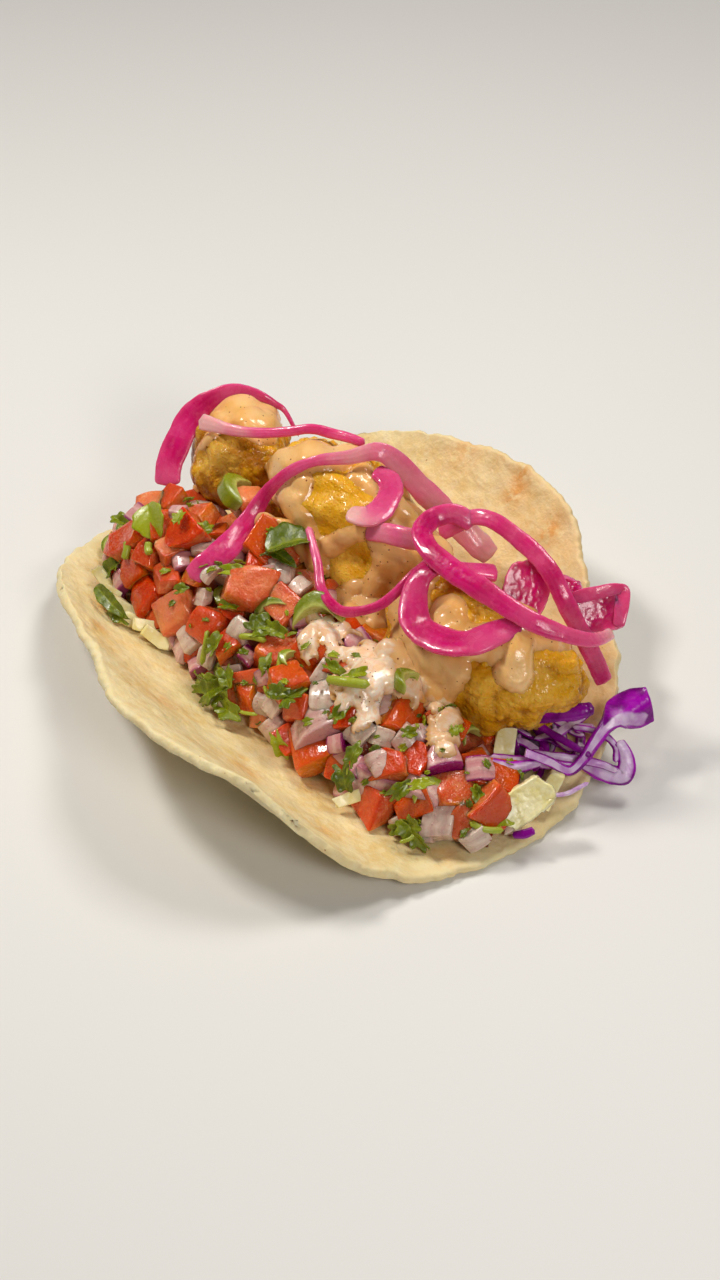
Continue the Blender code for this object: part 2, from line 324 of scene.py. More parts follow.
class Finish:
    """A Principled material, put together by short calls. Sizes and depths are in mm.

    A source is a noise's size, detail, roughness, seed and distortion, the name of a value that each point of
    the mesh carries, or a socket.
    """

    def __init__(self, name, body, **sockets):
        self.body = body
        self.material = bpy.data.materials.new(name)
        self.material.use_nodes = True
        self.tree = self.material.node_tree
        self.shader = self.tree.nodes["Principled BSDF"]
        self.place = self.node("TexCoord").outputs["Object"]
        for key, value in sockets.items():
            self.shader.inputs[key.replace("_", " ")].default_value = value

    def node(self, kind, **settings):
        """A new node."""
        made = self.tree.nodes.new("ShaderNode" + kind)
        for key, value in settings.items():
            setattr(made, key, value)
        return made

    def put(self, socket, value):
        """Links a socket, or sets it to a number or colour."""
        if isinstance(value, bpy.types.NodeSocket):
            self.tree.links.new(value, socket)
        else:
            socket.default_value = (*value, 1) if isinstance(value, tuple) else value

    def feed(self, made, **values):
        """Puts values into a node's sockets by name. Gives the node."""
        for name, value in values.items():
            self.put(made.inputs[name.replace("_", " ")], value)
        return made

    def read(self, source):
        """A source's socket."""
        if isinstance(source, str):
            return self.node("Attribute", attribute_name=source).outputs["Fac"]
        return self.noise(*source) if isinstance(source, tuple) else source

    def noise(self, size, detail, roughness=0.5, seed=0, distortion=0):
        """Noise from 0 to 1."""
        made = self.node("TexNoise", noise_dimensions="4D")
        self.feed(made, Vector=self.place, W=seed, Scale=1 / (size * MM))
        return self.feed(made, Detail=detail, Roughness=roughness, Distortion=distortion).outputs["Fac"]

    def cells(self, size):
        """Distance from the nearest of scattered points."""
        made = self.feed(self.node("TexVoronoi"), Vector=self.place, Scale=1 / (size * MM))
        return made.outputs["Distance"]

    def math(self, operation, first, second=0.5):
        """A sum or other operation on two values."""
        made = self.node("Math", operation=operation)
        self.put(made.inputs[0], first)
        self.put(made.inputs[1], second)
        return made.outputs[0]

    def span(self, source, low, high, start=0.0, end=1.0):
        """A source's range from low to high, mapped to start to end, and held there."""
        made = self.node("MapRange", interpolation_type="SMOOTHSTEP")
        self.feed(made, Value=self.read(source), From_Min=low, From_Max=high, To_Min=start, To_Max=end)
        return made.outputs["Result"]

    def mix(self, share, first, second):
        """One colour laid over another."""
        made = self.node("Mix", data_type="RGBA")
        return self.feed(made, Factor=share, A=first, B=second).outputs["Result"]

    def lay(self, source, low, high, most, colour):
        """Lays a colour on: none of it at a source's low value, and most of it at the high one."""
        self.body = self.mix(self.span(source, low, high, 0, most), self.body, colour)

    def stain(self, source, most, colour):
        """Lays a colour on in proportion to the source."""
        self.body = self.mix(self.math("MULTIPLY", self.read(source), most), self.body, colour)

    def gloss(self, size, seed, low, high, spread=0.15):
        """Roughness that wanders between low and high."""
        value = self.span((size, 2, 0.5, seed), 0.5 - spread, 0.5 + spread, low, high)
        self.feed(self.shader, Roughness=value)

    def done(self, *relief):
        """The material, with its colour, and bumps from pairs of a source from 0 to 1 and its depth."""
        self.feed(self.shader, Base_Color=self.body)
        normal = None
        for source, depth in relief:
            made = self.feed(self.node("Bump"), Strength=1, Distance=depth * MM, Height=self.read(source))
            if normal:
                self.feed(made, Normal=normal)
            normal = made.outputs["Normal"]
        if normal:
            self.feed(self.shader, Normal=normal)
        return self.material


def soft(share, radius, scale):
    """Sockets for light that goes some way in below the surface. The scale is in mm."""
    return {"Subsurface_Weight": share, "Subsurface_Radius": radius, "Subsurface_Scale": scale * MM}


def wet(ior, weight, roughness):
    """Sockets for a moist coat."""
    return {"IOR": ior, "Coat_Weight": weight, "Coat_Roughness": roughness}


def tortilla_finish():
    made = Finish("corn_tortilla", (0.84, 0.69, 0.35), **soft(0.3, (1, 0.7, 0.35), 1.2))
    made.lay((10, 4, 0.6), 0.40, 0.68, 1, (0.79, 0.565, 0.22))
    made.lay((6, 3, 0.5, 6), 0.52, 0.72, 0.35, (0.69, 0.51, 0.155))
    made.lay((2.4, 3, 0.6, 3), 0.42, 0.62, 0.35, (0.86, 0.76, 0.50))
    made.stain("rim", 0.45, (0.86, 0.76, 0.47))
    # Orange stains, and the painted shade that darkens the rear flap
    made.stain("stain", 0.75, (0.83, 0.45, 0.16))
    toasted = made.math("MULTIPLY", made.read("toast"), made.span((2.5, 4, 0.6, 8), 0.3, 0.6))
    made.stain(toasted, 1, (0.72, 0.32, 0.06))
    made.lay((1.1, 2, 0.5, 5), 0.735, 0.80, 1, (0.42, 0.20, 0.05))
    made.gloss(4, 2, 0.5, 0.72, 0.2)
    return made.done(((5, 3, 0.5, 1), 0.8), ((1.1, 3, 0.6, 4), 0.22))


def batter_finish():
    gold, brown, pale = (0.76, 0.37, 0.008), (0.42, 0.145, 0.0), (0.95, 0.60, 0.10)
    made = Finish("fried_batter", brown, Specular_IOR_Level=0.3, **wet(1.40, 0.25, 0.08),
                  **soft(0.4, (1, 0.4, 0.05), 1.6))
    # Gold over the brown, which stays in the deepest creases, partly the crust's colour and partly painted
    # shade.
    made.lay("height", 0.02, 0.44, 1, gold)
    made.lay((8, 3, 0.5, 2), 0.45, 0.70, 0.6, pale)
    # Paler on the highest lumps, partly the crust's colour and partly painted light.
    made.lay("height", 0.60, 1.0, 0.45, pale)
    made.lay((1.3, 3, 0.6, 7), 0.54, 0.74, 0.5, (0.90, 0.54, 0.08))
    made.lay((5, 3, 0.6, 4), 0.55, 0.72, 0.45, (0.38, 0.14, 0.0))
    made.gloss(1.5, 5, 0.20, 0.48)
    pits = made.span(made.cells(0.9), 0.45, 0.05)
    return made.done(((1.4, 3, 0.6, 6), 0.34), ((0.5, 2, 0.6, 9), 0.10), (pits, 0.14))


def onion_finish():
    rose = (0.74, 0.11, 0.27)
    made = Finish("pickled_onion", (0.63, 0.002, 0.165), **wet(1.38, 0.35, 0.08),
                  **soft(0.9, (1, 0.25, 0.5), 2.2))
    across = made.math("ADD", made.read("line"), made.math("MULTIPLY", made.noise(4, 2, seed=8), 0.6))
    lines = made.math("SINE", made.math("MULTIPLY", across, 11.0))
    made.lay((6, 3, 0.5, 1), 0.35, 0.65, 1, (0.50, 0.0, 0.105))
    made.lay((2.6, 3, 0.6, 5), 0.54, 0.74, 0.45, rose)
    made.lay(lines, -0.2, 1, 0.12, rose)
    made.stain("edge", 0.5, rose)
    made.lay("pale", 0.0, 0.5, 1, rose)
    made.lay("pale", 0.45, 1.0, 1, (0.82, 0.46, 0.44))
    made.gloss(2, 3, 0.14, 0.34)
    return made.done(((0.7, 2, 0.5, 6), 0.05), (made.span(lines, -1, 1), 0.02), ((2.5, 2, 0.5, 7), 0.14))


def tomato_finish():
    made = Finish("tomato_dice", (0.62, 0.055, 0.003), **wet(1.35, 0.5, 0.05),
                  **soft(1.0, (1, 0.35, 0.12), 2.6))
    # The lowest tints, where Crate.tomato lays its painted shade, are the deepest reds.
    made.lay("tint", 0.0, 0.22, 1, (0.70, 0.19, 0.005))
    made.lay("tint", 0.22, 0.5, 1, (0.66, 0.11, 0.03))
    made.lay("tint", 0.5, 0.8, 1, (0.82, 0.25, 0.09))
    made.lay("tint", 0.8, 1.0, 1, (0.76, 0.21, 0.13))
    made.lay((2.8, 4, 0.6, 2, 1.2), 0.48, 0.74, 0.55, (0.90, 0.42, 0.21))
    made.lay((2.6, 3, 0.5, 9), 0.52, 0.74, 0.5, (0.50, 0.04, 0.01))
    made.stain("skin", 1, (0.64, 0.05, 0.001))
    made.gloss(1.2, 3, 0.08, 0.26)
    pulp = made.span(made.cells(0.8), 0.30, 0.05)
    return made.done(((1.8, 3, 0.55, 6), 0.6), ((0.55, 2, 0.6, 7), 0.12), (pulp, 0.16))


def raw_onion_finish():
    made = Finish("raw_onion", (0.66, 0.50, 0.40), **wet(1.38, 0.35, 0.08), **soft(0.6, (1, 0.6, 0.6), 1.4))
    wavy = made.math("MULTIPLY", made.read("layer"), 2.4)
    lines = made.math("SINE", made.math("ADD", wavy, made.math("MULTIPLY", made.noise(2, 2, seed=8), 5)))
    made.lay("tint", 0.2, 0.9, 1, (0.66, 0.31, 0.31))
    made.lay(lines, 0.0, 1.0, 0.3, (0.86, 0.74, 0.64))
    made.lay(lines, -0.8, -1.0, 0.22, (0.50, 0.15, 0.22))
    made.stain("skin", 1, (0.28, 0.004, 0.12))
    made.gloss(1.5, 3, 0.12, 0.30)
    dots = made.span(made.cells(1.4), 0.30, 0.10)
    return made.done(((0.6, 3, 0.6, 6), 0.12), (made.span(lines, -1, 1), 0.05), (dots, 0.14))


def green_finish(name, dark, light, pale, shine):
    """Leaves, stems and chilli: between two greens by each piece's tint, and pale in its veins or flesh."""
    made = Finish(name, dark, Coat_Weight=shine, Coat_Roughness=0.15, **soft(0.25, (0.5, 1, 0.2), 0.7))
    made.stain("tint", 1, light)
    made.stain("skin", 1, pale)
    made.lay((1.5, 3, 0.6, 2), 0.45, 0.7, 0.4, light)
    made.gloss(1.2, 3, 0.20, 0.42)
    return made.done(((0.7, 3, 0.6, 6), 0.12))


def cabbage_finish():
    """Red cabbage: a white inside between purple skins. The skin value is 1 on a strip's two edges."""
    made = Finish("red_cabbage", (0.73, 0.55, 0.76), **wet(1.35, 0.15, 0.1), **soft(0.4, (0.7, 0.4, 1), 1.0))
    made.lay((3, 3, 0.5, 2), 0.4, 0.65, 1, (0.56, 0.26, 0.60))
    purple = made.mix(made.span((4, 2, 0.5, 5), 0.4, 0.65), (0.40, 0.001, 0.44), (0.20, 0.0, 0.22))
    edge = made.math("ADD", made.read("skin"), made.span((3, 2, 0.5, 6), 0.3, 0.7, -0.10, 0.10))
    made.lay(edge, 0.20, 0.50, 1, purple)
    made.stain("shade", 1, (0.05, 0.003, 0.03))
    made.gloss(2, 3, 0.18, 0.36)
    return made.done(((0.9, 3, 0.6, 7), 0.12))


def white_cabbage_finish():
    made = Finish("white_cabbage", (0.88, 0.80, 0.46), **wet(1.4, 0.2, 0.15), **soft(0.4, (1, 0.9, 0.5), 1.2))
    made.lay((3, 3, 0.5, 2), 0.4, 0.65, 1, (0.80, 0.70, 0.28))
    made.lay((1.2, 3, 0.6, 4, 0.8), 0.5, 0.7, 0.6, (0.93, 0.90, 0.64))
    made.gloss(2, 3, 0.22, 0.42)
    return made.done(((1.6, 2, 0.5, 7), 0.15))


def sauce_finish():
    made = Finish("sauce", (0.90, 0.56, 0.24), Roughness=0.20, **wet(1.42, 0.4, 0.04),
                  **soft(0.4, (1, 0.5, 0.2), 1.4))
    made.lay((9, 3, 0.5, 1), 0.35, 0.65, 1, (0.84, 0.45, 0.13))
    streaks = made.span((3.5, 3, 0.6, 9, 1.5), 0.42, 0.62)
    made.stain("milk", 1, made.mix(streaks, (0.88, 0.60, 0.38), (0.93, 0.80, 0.66)))
    made.stain("thin", 0.7, (0.62, 0.28, 0.06))
    small = made.math("LESS_THAN", made.cells(1.9), 0.085)
    big = made.math("LESS_THAN", made.cells(3.1), 0.075)
    made.stain(made.math("MAXIMUM", small, big), 1, (0.22, 0.05, 0.01))
    return made.done(((3.5, 3, 0.6, 5), 0.35), ((0.9, 2, 0.5, 6), 0.05))


def core_finish():
    """What shows in the gaps of the salsa: wet and red, and made dark as painted shade in the gaps."""
    made = Finish("salsa_shade_core", (0.26, 0.035, 0.012), Roughness=0.25, Coat_Weight=0.3,
                  **soft(0.3, (1, 0.3, 0.1), 1))
    made.lay((4, 3, 0.5, 1), 0.4, 0.6, 1, (0.42, 0.09, 0.03))
    return made.done(((2, 3, 0.6, 5), 0.8))


def floor_finish():
    made = Finish("floor", (0.76, 0.75, 0.73), Roughness=0.6)
    made.lay((500, 2), 0.3, 0.7, 1, (0.80, 0.79, 0.77))
    return made.done()


# ---------------------------------------------------------------- tortilla

TORTILLA_RADIUS = 75 * MM
TORTILLA_THICKNESS = 2.2 * MM
# Count, height and phase
OUTLINE_WAVES = ((2, 3.3 * MM, -44), (3, 3.1 * MM, -164), (4, 1.5 * MM, 81), (5, 1.0 * MM, 14))
OUTLINE_DENT = (5 * MM, 64, 10)  # depth, direction and half width of a dent in the rear rim
REST_STRIP = 12 * MM
FOLD_OFFSET = 2.4 * MM
LIP_END = 85 * MM
BEND_STEPS = 48
FRONT_FLAP = {"bend": 48, "slope": 6, "bow": 21, "length": 60 * MM, "lip": -50}
BACK_FLAP = {"bend": 28, "slope": -5, "bow": 0, "length": 37 * MM, "lip": 30}
TORTILLA_CELLS = 180
RIM_CROWDING = 1.3  # above 1, cells are smaller towards the rim
RIM_ROUND = 1.3 * MM  # how far in from the edge the rim is rounded
# Width and height of the rim's scallops, and of the low relief
RAGGED = ((7 * MM, 1.0 * MM), (2.6 * MM, 0.65 * MM), (1.1 * MM, 0.3 * MM))
RELIEF = ((14 * MM, 0.35 * MM), (4.5 * MM, 0.28 * MM), (1.6 * MM, 0.10 * MM))
# Toasted spots, and patches that are stained orange, the first and broadest of them being painted shade that
# darkens the rear flap: place in mm from above, radius in mm, strength
TOASTED = (
    ((-2, 60.4), 3.2, 1.0), ((-3.5, 63), 2.4, 1.0), ((13.5, 59.3), 3.2, 1.0), ((-22, 60), 5, 0.5),
    ((5, 55), 3, 0.4), ((-45, -36), 4, 0.6), ((0, -45), 5, 0.5), ((28, -40), 4, 0.5), ((-66, -20), 4, 0.5),
    ((60, 35), 6, 0.4), ((-33, -43), 3, 0.5), ((52, -34), 3, 0.5), ((68, -12), 3, 0.5),
)
STAINS = (
    # Painted shade: a broad darkening over the rear flap's inner face
    ((15, 52), 42, 0.38),
    ((0, 55), 18, 0.30), ((21, 60), 6, 0.6), ((29, 60), 5, 0.6), ((34, 51), 8, 0.6), ((46, 48), 8, 0.6),
    ((54, 44), 8, 0.5), ((20, 47), 8, 0.5),
)


def fold(x, v):
    """The tortilla's middle surface at x along the fold and arc length v across it, as arrays."""
    along = x / TORTILLA_RADIUS
    y, z = np.zeros_like(v), np.zeros_like(v)
    for flap, side in ((BACK_FLAP, v > 0), (FRONT_FLAP, v <= 0)):
        full = flap["bend"] + flap["slope"] * along + flap["bow"] * along**2
        step = np.abs(v) / BEND_STEPS
        for i in range(BEND_STEPS):
            s = (i + 0.5) * step
            bent = np.clip((s - REST_STRIP / 2) / (flap["length"] - REST_STRIP / 2), 0, 1)
            curled = np.clip((s - flap["length"]) / (LIP_END - flap["length"]), 0, 1)
            angle = np.radians(full * (0.5 - 0.5 * np.cos(np.pi * bent)) + flap["lip"] * curled)
            y += side * np.cos(angle) * step
            z += side * np.sin(angle) * step
    return np.copysign(y, v), z + TORTILLA_THICKNESS / 2


def near_spots(points, spots):
    """How much each point lies in round, fading spots, from 0 to 1."""
    total = np.zeros(len(points))
    for centre, radius, strength in spots:
        away = np.linalg.norm(points[:, :2] - mm(centre), axis=1) / (radius * MM)
        total = np.maximum(total, strength * np.exp(-(away**2)))
    return total


def tortilla_shape():
    """The folded disc as a closed sheet with a ragged, rounded rim and low relief on both sides."""
    side = TORTILLA_CELLS + 1
    a, b = (plane.ravel() for plane in square(1, side))
    out = np.maximum(np.abs(a), np.abs(b))
    spread = (1 - (1 - out) ** RIM_CROWDING) / np.maximum(out, 1e-9)
    a, b = a * spread, b * spread
    out = np.maximum(np.abs(a), np.abs(b))
    disc_a, disc_b = to_disc(a, b)
    angle = np.arctan2(disc_b, disc_a)
    around = np.stack((np.cos(angle), np.sin(angle), np.zeros_like(angle)), axis=1) * TORTILLA_RADIUS

    waves = sum(high * np.cos(count * angle - math.radians(phase)) for count, high, phase in OUTLINE_WAVES)
    radius = TORTILLA_RADIUS + waves
    depth, towards, width = OUTLINE_DENT
    radius -= depth * np.exp(-(((np.degrees(angle) - towards) / width) ** 2))
    ragged = sum(height * perlin(around / size, i) for i, (size, height) in enumerate(RAGGED))
    radius += ragged * out**10
    x, v = disc_a * radius, disc_b * radius + FOLD_OFFSET
    middle = np.stack((x, *fold(x, v)), axis=1)

    normal = grid_normals(middle.reshape(side, side, 3)).reshape(-1, 3)
    edge = np.clip(1 - (1 - out) * radius / RIM_ROUND, 0, 1)
    half = TORTILLA_THICKNESS / 2 * np.sqrt(1 - edge**2)
    wobble = 0.9 * MM * perlin(around / (11 * MM), 9) * out**12
    rest = np.clip(np.abs(v - FOLD_OFFSET) / (25 * MM), 0, 1)
    sheets = []
    for way in (1, -1):
        flat = np.stack((x, v, np.full_like(x, way * 0.05)), axis=1)
        relief = sum(height * perlin(flat / size, 20 + i) for i, (size, height) in enumerate(RELIEF))
        blisters = 0.9 * MM * np.clip(perlin(flat / (8 * MM), 40) - 0.35, 0, 1)
        share = (1 - edge) * (1 if way > 0 else rest)
        offset = way * half + (wobble + way * (relief + blisters) * share) * (1 if way > 0 else rest)
        sheets.append(middle + normal * offset[:, None])
    upper, lower = sheets
    lower[:, 2] = np.maximum(lower[:, 2], 0)

    # The two sheets share the points of the rim.
    index = np.arange(side * side).reshape(side, side)
    rim = np.zeros((side, side), bool)
    rim[[0, -1], :] = rim[:, [0, -1]] = True
    below = np.where(rim, index, index + side * side)
    faces = []
    for i, j in itertools.product(range(side - 1), repeat=2):
        corners = ((i, j), (i + 1, j), (i + 1, j + 1), (i, j + 1))
        faces.append(tuple(int(index[corner]) for corner in corners))
        faces.append(tuple(int(below[corner]) for corner in reversed(corners)))
    points = np.concatenate((upper, lower))
    values = {
        "rim": np.tile(out**14, 2),
        "toast": near_spots(points, TOASTED),
        # Orange stains and the painted shade over the rear flap, on the upper sheet only
        "stain": near_spots(points, STAINS) * np.repeat((1.0, 0.0), side * side),
    }
    everything = np.ones(len(points), bool)
    return keep_points((points, faces, values), everything)


# ---------------------------------------------------------------- battered fish

# Centre, half sizes, yaw, pitch, where its lumps are read from the noise, how much its front hangs in upright
# folds (mm), how crisp its front is, how much paler its front is, which on the middle fish is painted light
# (below
# 0 the front is darker), and bumps: direction, width, height
FISH = {
    "fish_left": ((-54, 12, 27), (17, 14, 15), -12, 0, 3, 3.0, 0.2, -0.3, (
        ((0.9, -0.4, -0.3), 0.35, 1.5), ((0.4, -0.9, 0.1), 0.25, 1.6), ((0.75, -0.6, 0.3), 0.22, -1.8),
        ((0.2, -1, -0.4), 0.2, -1.6),
    )),
    "fish_middle": ((-15, 20, 29), (30, 15, 16), 8, 9, 7, 1.4, 0.5, 0.3, (
        ((0.3, -0.5, 0.8), 0.28, 1.6), ((0.55, -0.8, -0.1), 0.26, 1.8), ((0.35, -0.9, 0.25), 0.2, -2.2),
        ((-0.35, -0.9, 0.1), 0.3, -1.5), ((0.75, -0.3, 0.5), 0.25, 1.2),
    )),
    "fish_right": ((38, 20, 24.5), (26, 15, 16), 20, 6, 12, 0.4, 1.0, 0.0, (
        ((0.75, -0.35, 0.35), 0.42, 1.5), ((0.35, -0.75, -0.55), 0.22, 2.6), ((0.0, -0.9, -0.35), 0.3, 1.0),
        ((0.5, -0.9, 0.05), 0.18, -1.6), ((0.65, -0.6, -0.5), 0.2, -1.2),
    )),
}
# Scale of the noise on the unit sphere, and height as a share of the radius
FISH_LUMPS = ((1.3, 0.16), (3.1, 0.07))
FISH_LEVEL = 7


def fish_shape(name):
    """A lumpy, crisp crust: the solid's own lumps, then bumps, folds and pebbles of falling size."""
    centre, half, yaw, pitch, seed, hanging, crunch, paler, bumps = FISH[name]
    directions, faces = icosphere(FISH_LEVEL)
    place = Vector((seed, -seed, 0.5 * seed))
    radius = np.array([
        1 + sum(height * noise.noise(Vector(direction) * scale + place) for scale, height in FISH_LUMPS)
        for direction in directions
    ])
    turn = turned(yaw, pitch)
    outward = unit(unit(directions / np.array(half)) @ turn.T)
    points = directions * np.array(half) * MM * radius[:, None] @ turn.T + mm(centre)
    rise = np.zeros(len(points))
    for towards, width, height in bumps:
        away = np.linalg.norm(directions - unit(towards), axis=1) / width
        rise += height * np.exp(-(away**2))
    bent = points + 1.6 * MM * np.stack([fractal(points, 8 * MM, 2, 50 + i) for i in range(3)], axis=1)
    upright = np.clip(-directions[:, 1] * 1.5, 0, 1)
    rise += hanging * upright * (ridges(bent * (1, 1, 0.22), 6 * MM, seed + 1) - 0.3)
    lumps = ridges(bent, 9 * MM, seed)
    large = pebbles(bent, 5.2 * MM, seed + 5)
    small = bubbles(points, 3.4 * MM, seed + 6)
    tiny = bubbles(points, 1.6 * MM, seed + 7)
    grain = fractal(points, 0.9 * MM, 2, seed + 9)
    front = np.clip(0.5 - directions[:, 1], 0, 1)
    crunch = 1 - (1 - crunch) * front
    crisp = crunch * (0.35 + 0.65 * np.clip(0.5 + 1.2 * perlin(points / (11 * MM), seed + 2), 0, 1))
    rise += 1.6 * lumps + crisp * (0.7 * large + 0.7 * small + 0.32 * tiny) + 0.14 * crunch * grain - 1.4
    points = points + outward * rise[:, None] * MM
    # The height sets the batter's colour; the rise that it gets over the middle fish's paler front is painted
    # light.
    height = np.clip(lumps + 0.2 * large + 0.35 * small + 0.15 * tiny + paler * front, 0, 1)
    return points, faces, {"height": height}


# ---------------------------------------------------------------- strips of pickled onion and cabbage

UP = (0, 0, 1)
OUT = (0.6, -0.4, 0.7)
# Points in mm, width at each end, thickness, and where the flat side faces
ONIONS = {
    "onion_thin_loop": (
        [(-13, 5, 36), (-3, 1, 33), (3, -2, 31), (13, -3, 32), (20, 3, 36), (21, 11, 41), (20, 20, 43)],
        (2.4, 2.6), 2.2, OUT,
    ),
    "onion_short_band": ([(0, 13, 40), (5, 15, 42), (10, 17, 43), (14, 20, 43)], (4.8, 4.8), 2.4, OUT),
    "onion_hook": (
        [(-12, 24, 45), (-8, 25, 44), (-4, 23, 43), (-1, 18, 43), (-1, 14, 42), (-5, 11, 41)], (5, 5.5),
         2, UP,
    ),
    "onion_long_arc": (
        [(-23, -23, 25), (-23, -14, 29), (-26, -5, 32), (-28, 3, 37), (-21, 13, 45), (-13, 26, 49),
         (-6, 33, 41),
         (0, 38, 33), (7, 42, 27), (10, 44, 24)],
        (4.5, 4.5), 2, OUT,
    ),
    "onion_cross_band": (
        [(-59, 3, 41), (-48, 7, 43), (-38, 16, 43), (-30, 24, 42), (-22, 28, 42)], (2.6, 2.2), 2.2, OUT,
    ),
    "onion_left_band": (
        [(-60, -7, 24), (-63, -4, 29), (-66, 4, 36), (-65, 10, 39), (-62, 16, 41), (-57, 21, 41),
         (-53, 25, 38)],
        (5.5, 2), 2, (0.5, -0.7, 0.5),
    ),
    "onion_crescent": (
        [(49, 22, 40), (46, 11, 39), (39, 6, 38), (31, 5, 38), (25, 10, 40), (25, 16, 42), (28, 24, 42),
         (31, 29, 41)],
        (8, 6), 2.4, UP,
    ),
    "onion_rough_chunk": ([(30, 38, 35), (34, 35, 36), (39, 33, 37), (42, 32, 37)], (9, 8), 3, OUT),
    "onion_end_petal": ([(46, 39, 38), (47, 41, 37), (48, 44, 36), (50, 48, 34)], (8, 8), 2.4, OUT),
    "onion_back_arc": (
        [(12, 26, 41), (18, 31, 48), (25, 34, 49), (37, 36, 46), (47, 36, 40), (51, 38, 33), (54, 41, 24),
         (56, 43, 17)],
        (4, 4.6), 2, OUT,
    ),
    "onion_front_arc": (
        [(13, 24, 48), (16, 18, 49), (24, 15, 48), (40, 18, 47), (53, 23, 44), (60, 33, 39), (58, 42, 35)],
        (5, 3.4), 2.2, OUT,
    ),
}
SHREDS = {
    "red_cabbage_dark": ([(61, 25, 20), (63, 28, 21), (65, 32, 22)], (4, 4), 1.4, OUT),
    "red_cabbage_wavy": ([(60, 6, 15), (63, 9, 14), (65, 13, 14), (66, 16, 14)], (3, 3), 1.4, OUT),
    "red_cabbage_loop": ([(67, 28, 8), (71, 30, 7), (75, 34, 7), (73, 36, 10), (70, 36, 13)], (4, 3),
    1.6, OUT),
    "red_cabbage_leaf": (
        [(64, 13, 9), (69, 22, 10), (68, 30, 12), (66, 37, 14), (65, 42, 15), (67, 48, 16)], (3, 10),
         1.6, OUT,
    ),
    "white_cabbage": ([(71, 4, 9), (71, 8, 10), (72, 13, 11)], (6, 7), 3.5, OUT),
}
# Widths in mm along each strip, thickness against the solid's, and how pale it is along it
ONION_LOOKS = {
    "onion_thin_loop": ((1.8, 2.2, 2.5, 2.6, 2.4, 2.6, 3.0), 0.9, (0.6, 0.2, 0.05, 0.05, 0.15, 0.3)),
    "onion_short_band": ((4.6, 5.0, 5.0, 5.0), 0.7, (0.7, 0.5, 0.5)),
    "onion_hook": ((4.5, 5.5, 6.2, 7.0, 7.2, 5.5), 0.6, (0.3, 0.25, 0.3, 0.4, 0.7, 1.0)),
    "onion_long_arc": (
        (5.0, 6.4, 5.8, 3.4, 2.6, 4.6, 6.2, 6.2, 6.6, 5.0),
        0.45, (0.35, 0.05, 0.05, 0.1, 0.5, 0.7, 0.6, 0.6, 0.9, 1.0),
    ),
    "onion_cross_band": ((4.2, 2.8, 2.6, 2.6, 2.2), 0.7, (1.0, 0.7, 0.3, 0.3, 0.3)),
    "onion_left_band": ((7.0, 7.4, 7.2, 6.0, 4.4, 3.0, 1.8, 0.8), 0.5, (0.25, 0.1, 0.1, 0.3, 0.2, 0.3)),
    "onion_crescent": ((5.0, 8.4, 8.6, 7.6, 5.6, 4.4, 5.2, 7.0), 0.65, (0.3, 0.1, 0.1, 0.15, 0.15, 0.3)),
    "onion_back_arc": ((4.0, 4.0, 4.2, 4.6, 4.6, 4.6, 4.8, 4.2), 0.65, (0.6, 0.3, 0.2, 0.1, 0.1, 0.15, 0.1)),
    "onion_front_arc": ((5.0, 5.0, 5.0, 5.6, 4.8, 3.6, 2.8), 0.65, (0.4, 0.1, 0.05, 0.1, 0.35, 0.9)),
}
GAP = 0.4 * MM
LIFT_REACH = 12 * MM
SOLID_STEPS = 2  # sections between two of a strip's points, in the solid
FINE_STEPS = 6  # and between two of those, here
RING = 20  # points round a strip's section
END_ROUNDING = 0.25  # over how much of its width a strip's end is rounded


def laid_path(strip, ground):
    """A strip's middle line, lifted clear of the ground as its solid is."""
    points, (first, last), thickness, facing = strip
    path = smooth_path(mm(points), SOLID_STEPS)
    facing = unit(facing)
    lifts = []
    for i, middle in enumerate(path):
        along = unit(path[min(i + 1, len(path) - 1)] - path[max(i - 1, 0)])
        across = unit(np.cross(along, facing))
        normal = np.cross(across, along) * thickness * MM / 2
        reach = across * (first + (last - first) * i / (len(path) - 1)) * MM / 2
        spots = [middle + reach * side for side in (-1, -0.5, 0, 0.5, 1)]
        below = abs(normal[2]) + 2 * GAP
        lifts.append(max(0, *(ground.height(spot[0], spot[1]) + below - spot[2] for spot in spots)))
    away = np.linalg.norm(path[:, None] - path[None], axis=2) / LIFT_REACH
    lift = (np.array(lifts)[None] * (0.5 + 0.5 * np.cos(np.pi * np.minimum(away, 1)))).max(axis=1)
    return path + lift[:, None] * np.array(UP)


def strip_frame(path, facing):
    """Unit vectors across and out of a strip at each of its points."""
    along = unit(np.gradient(path, axis=0))
    across = unit(np.cross(along, unit(facing)))
    return across, np.cross(across, along)


def sweep(path, across, normal, half_wide, half_thick, squareness=4.0, cup=0.0):
    """A closed tube of rounded boxes along a path. Cup bends its edges back, as a share of its width."""
    turn = np.arange(RING) * 2 * math.pi / RING
    wide = np.sign(np.cos(turn)) * np.abs(np.cos(turn)) ** (2 / squareness)
    thick = np.sign(np.sin(turn)) * np.abs(np.sin(turn)) ** (2 / squareness)
    spread = wide[None] * half_wide[:, None]
    rise = thick[None] * half_thick[:, None] - cup * (wide**2)[None] * half_wide[:, None]
    points = path[:, None] + spread[..., None] * across[:, None] + rise[..., None] * normal[:, None]
    rows = len(path)
    faces = grid_faces(rows, RING, closed=True)
    faces += [tuple(range(RING))[::-1], tuple(range((rows - 1) * RING, rows * RING))]
    share = np.repeat(np.linspace(0, 1, rows), RING)
    return points.reshape(-1, 3), faces, {"wide": np.tile(wide, rows), "share": share}


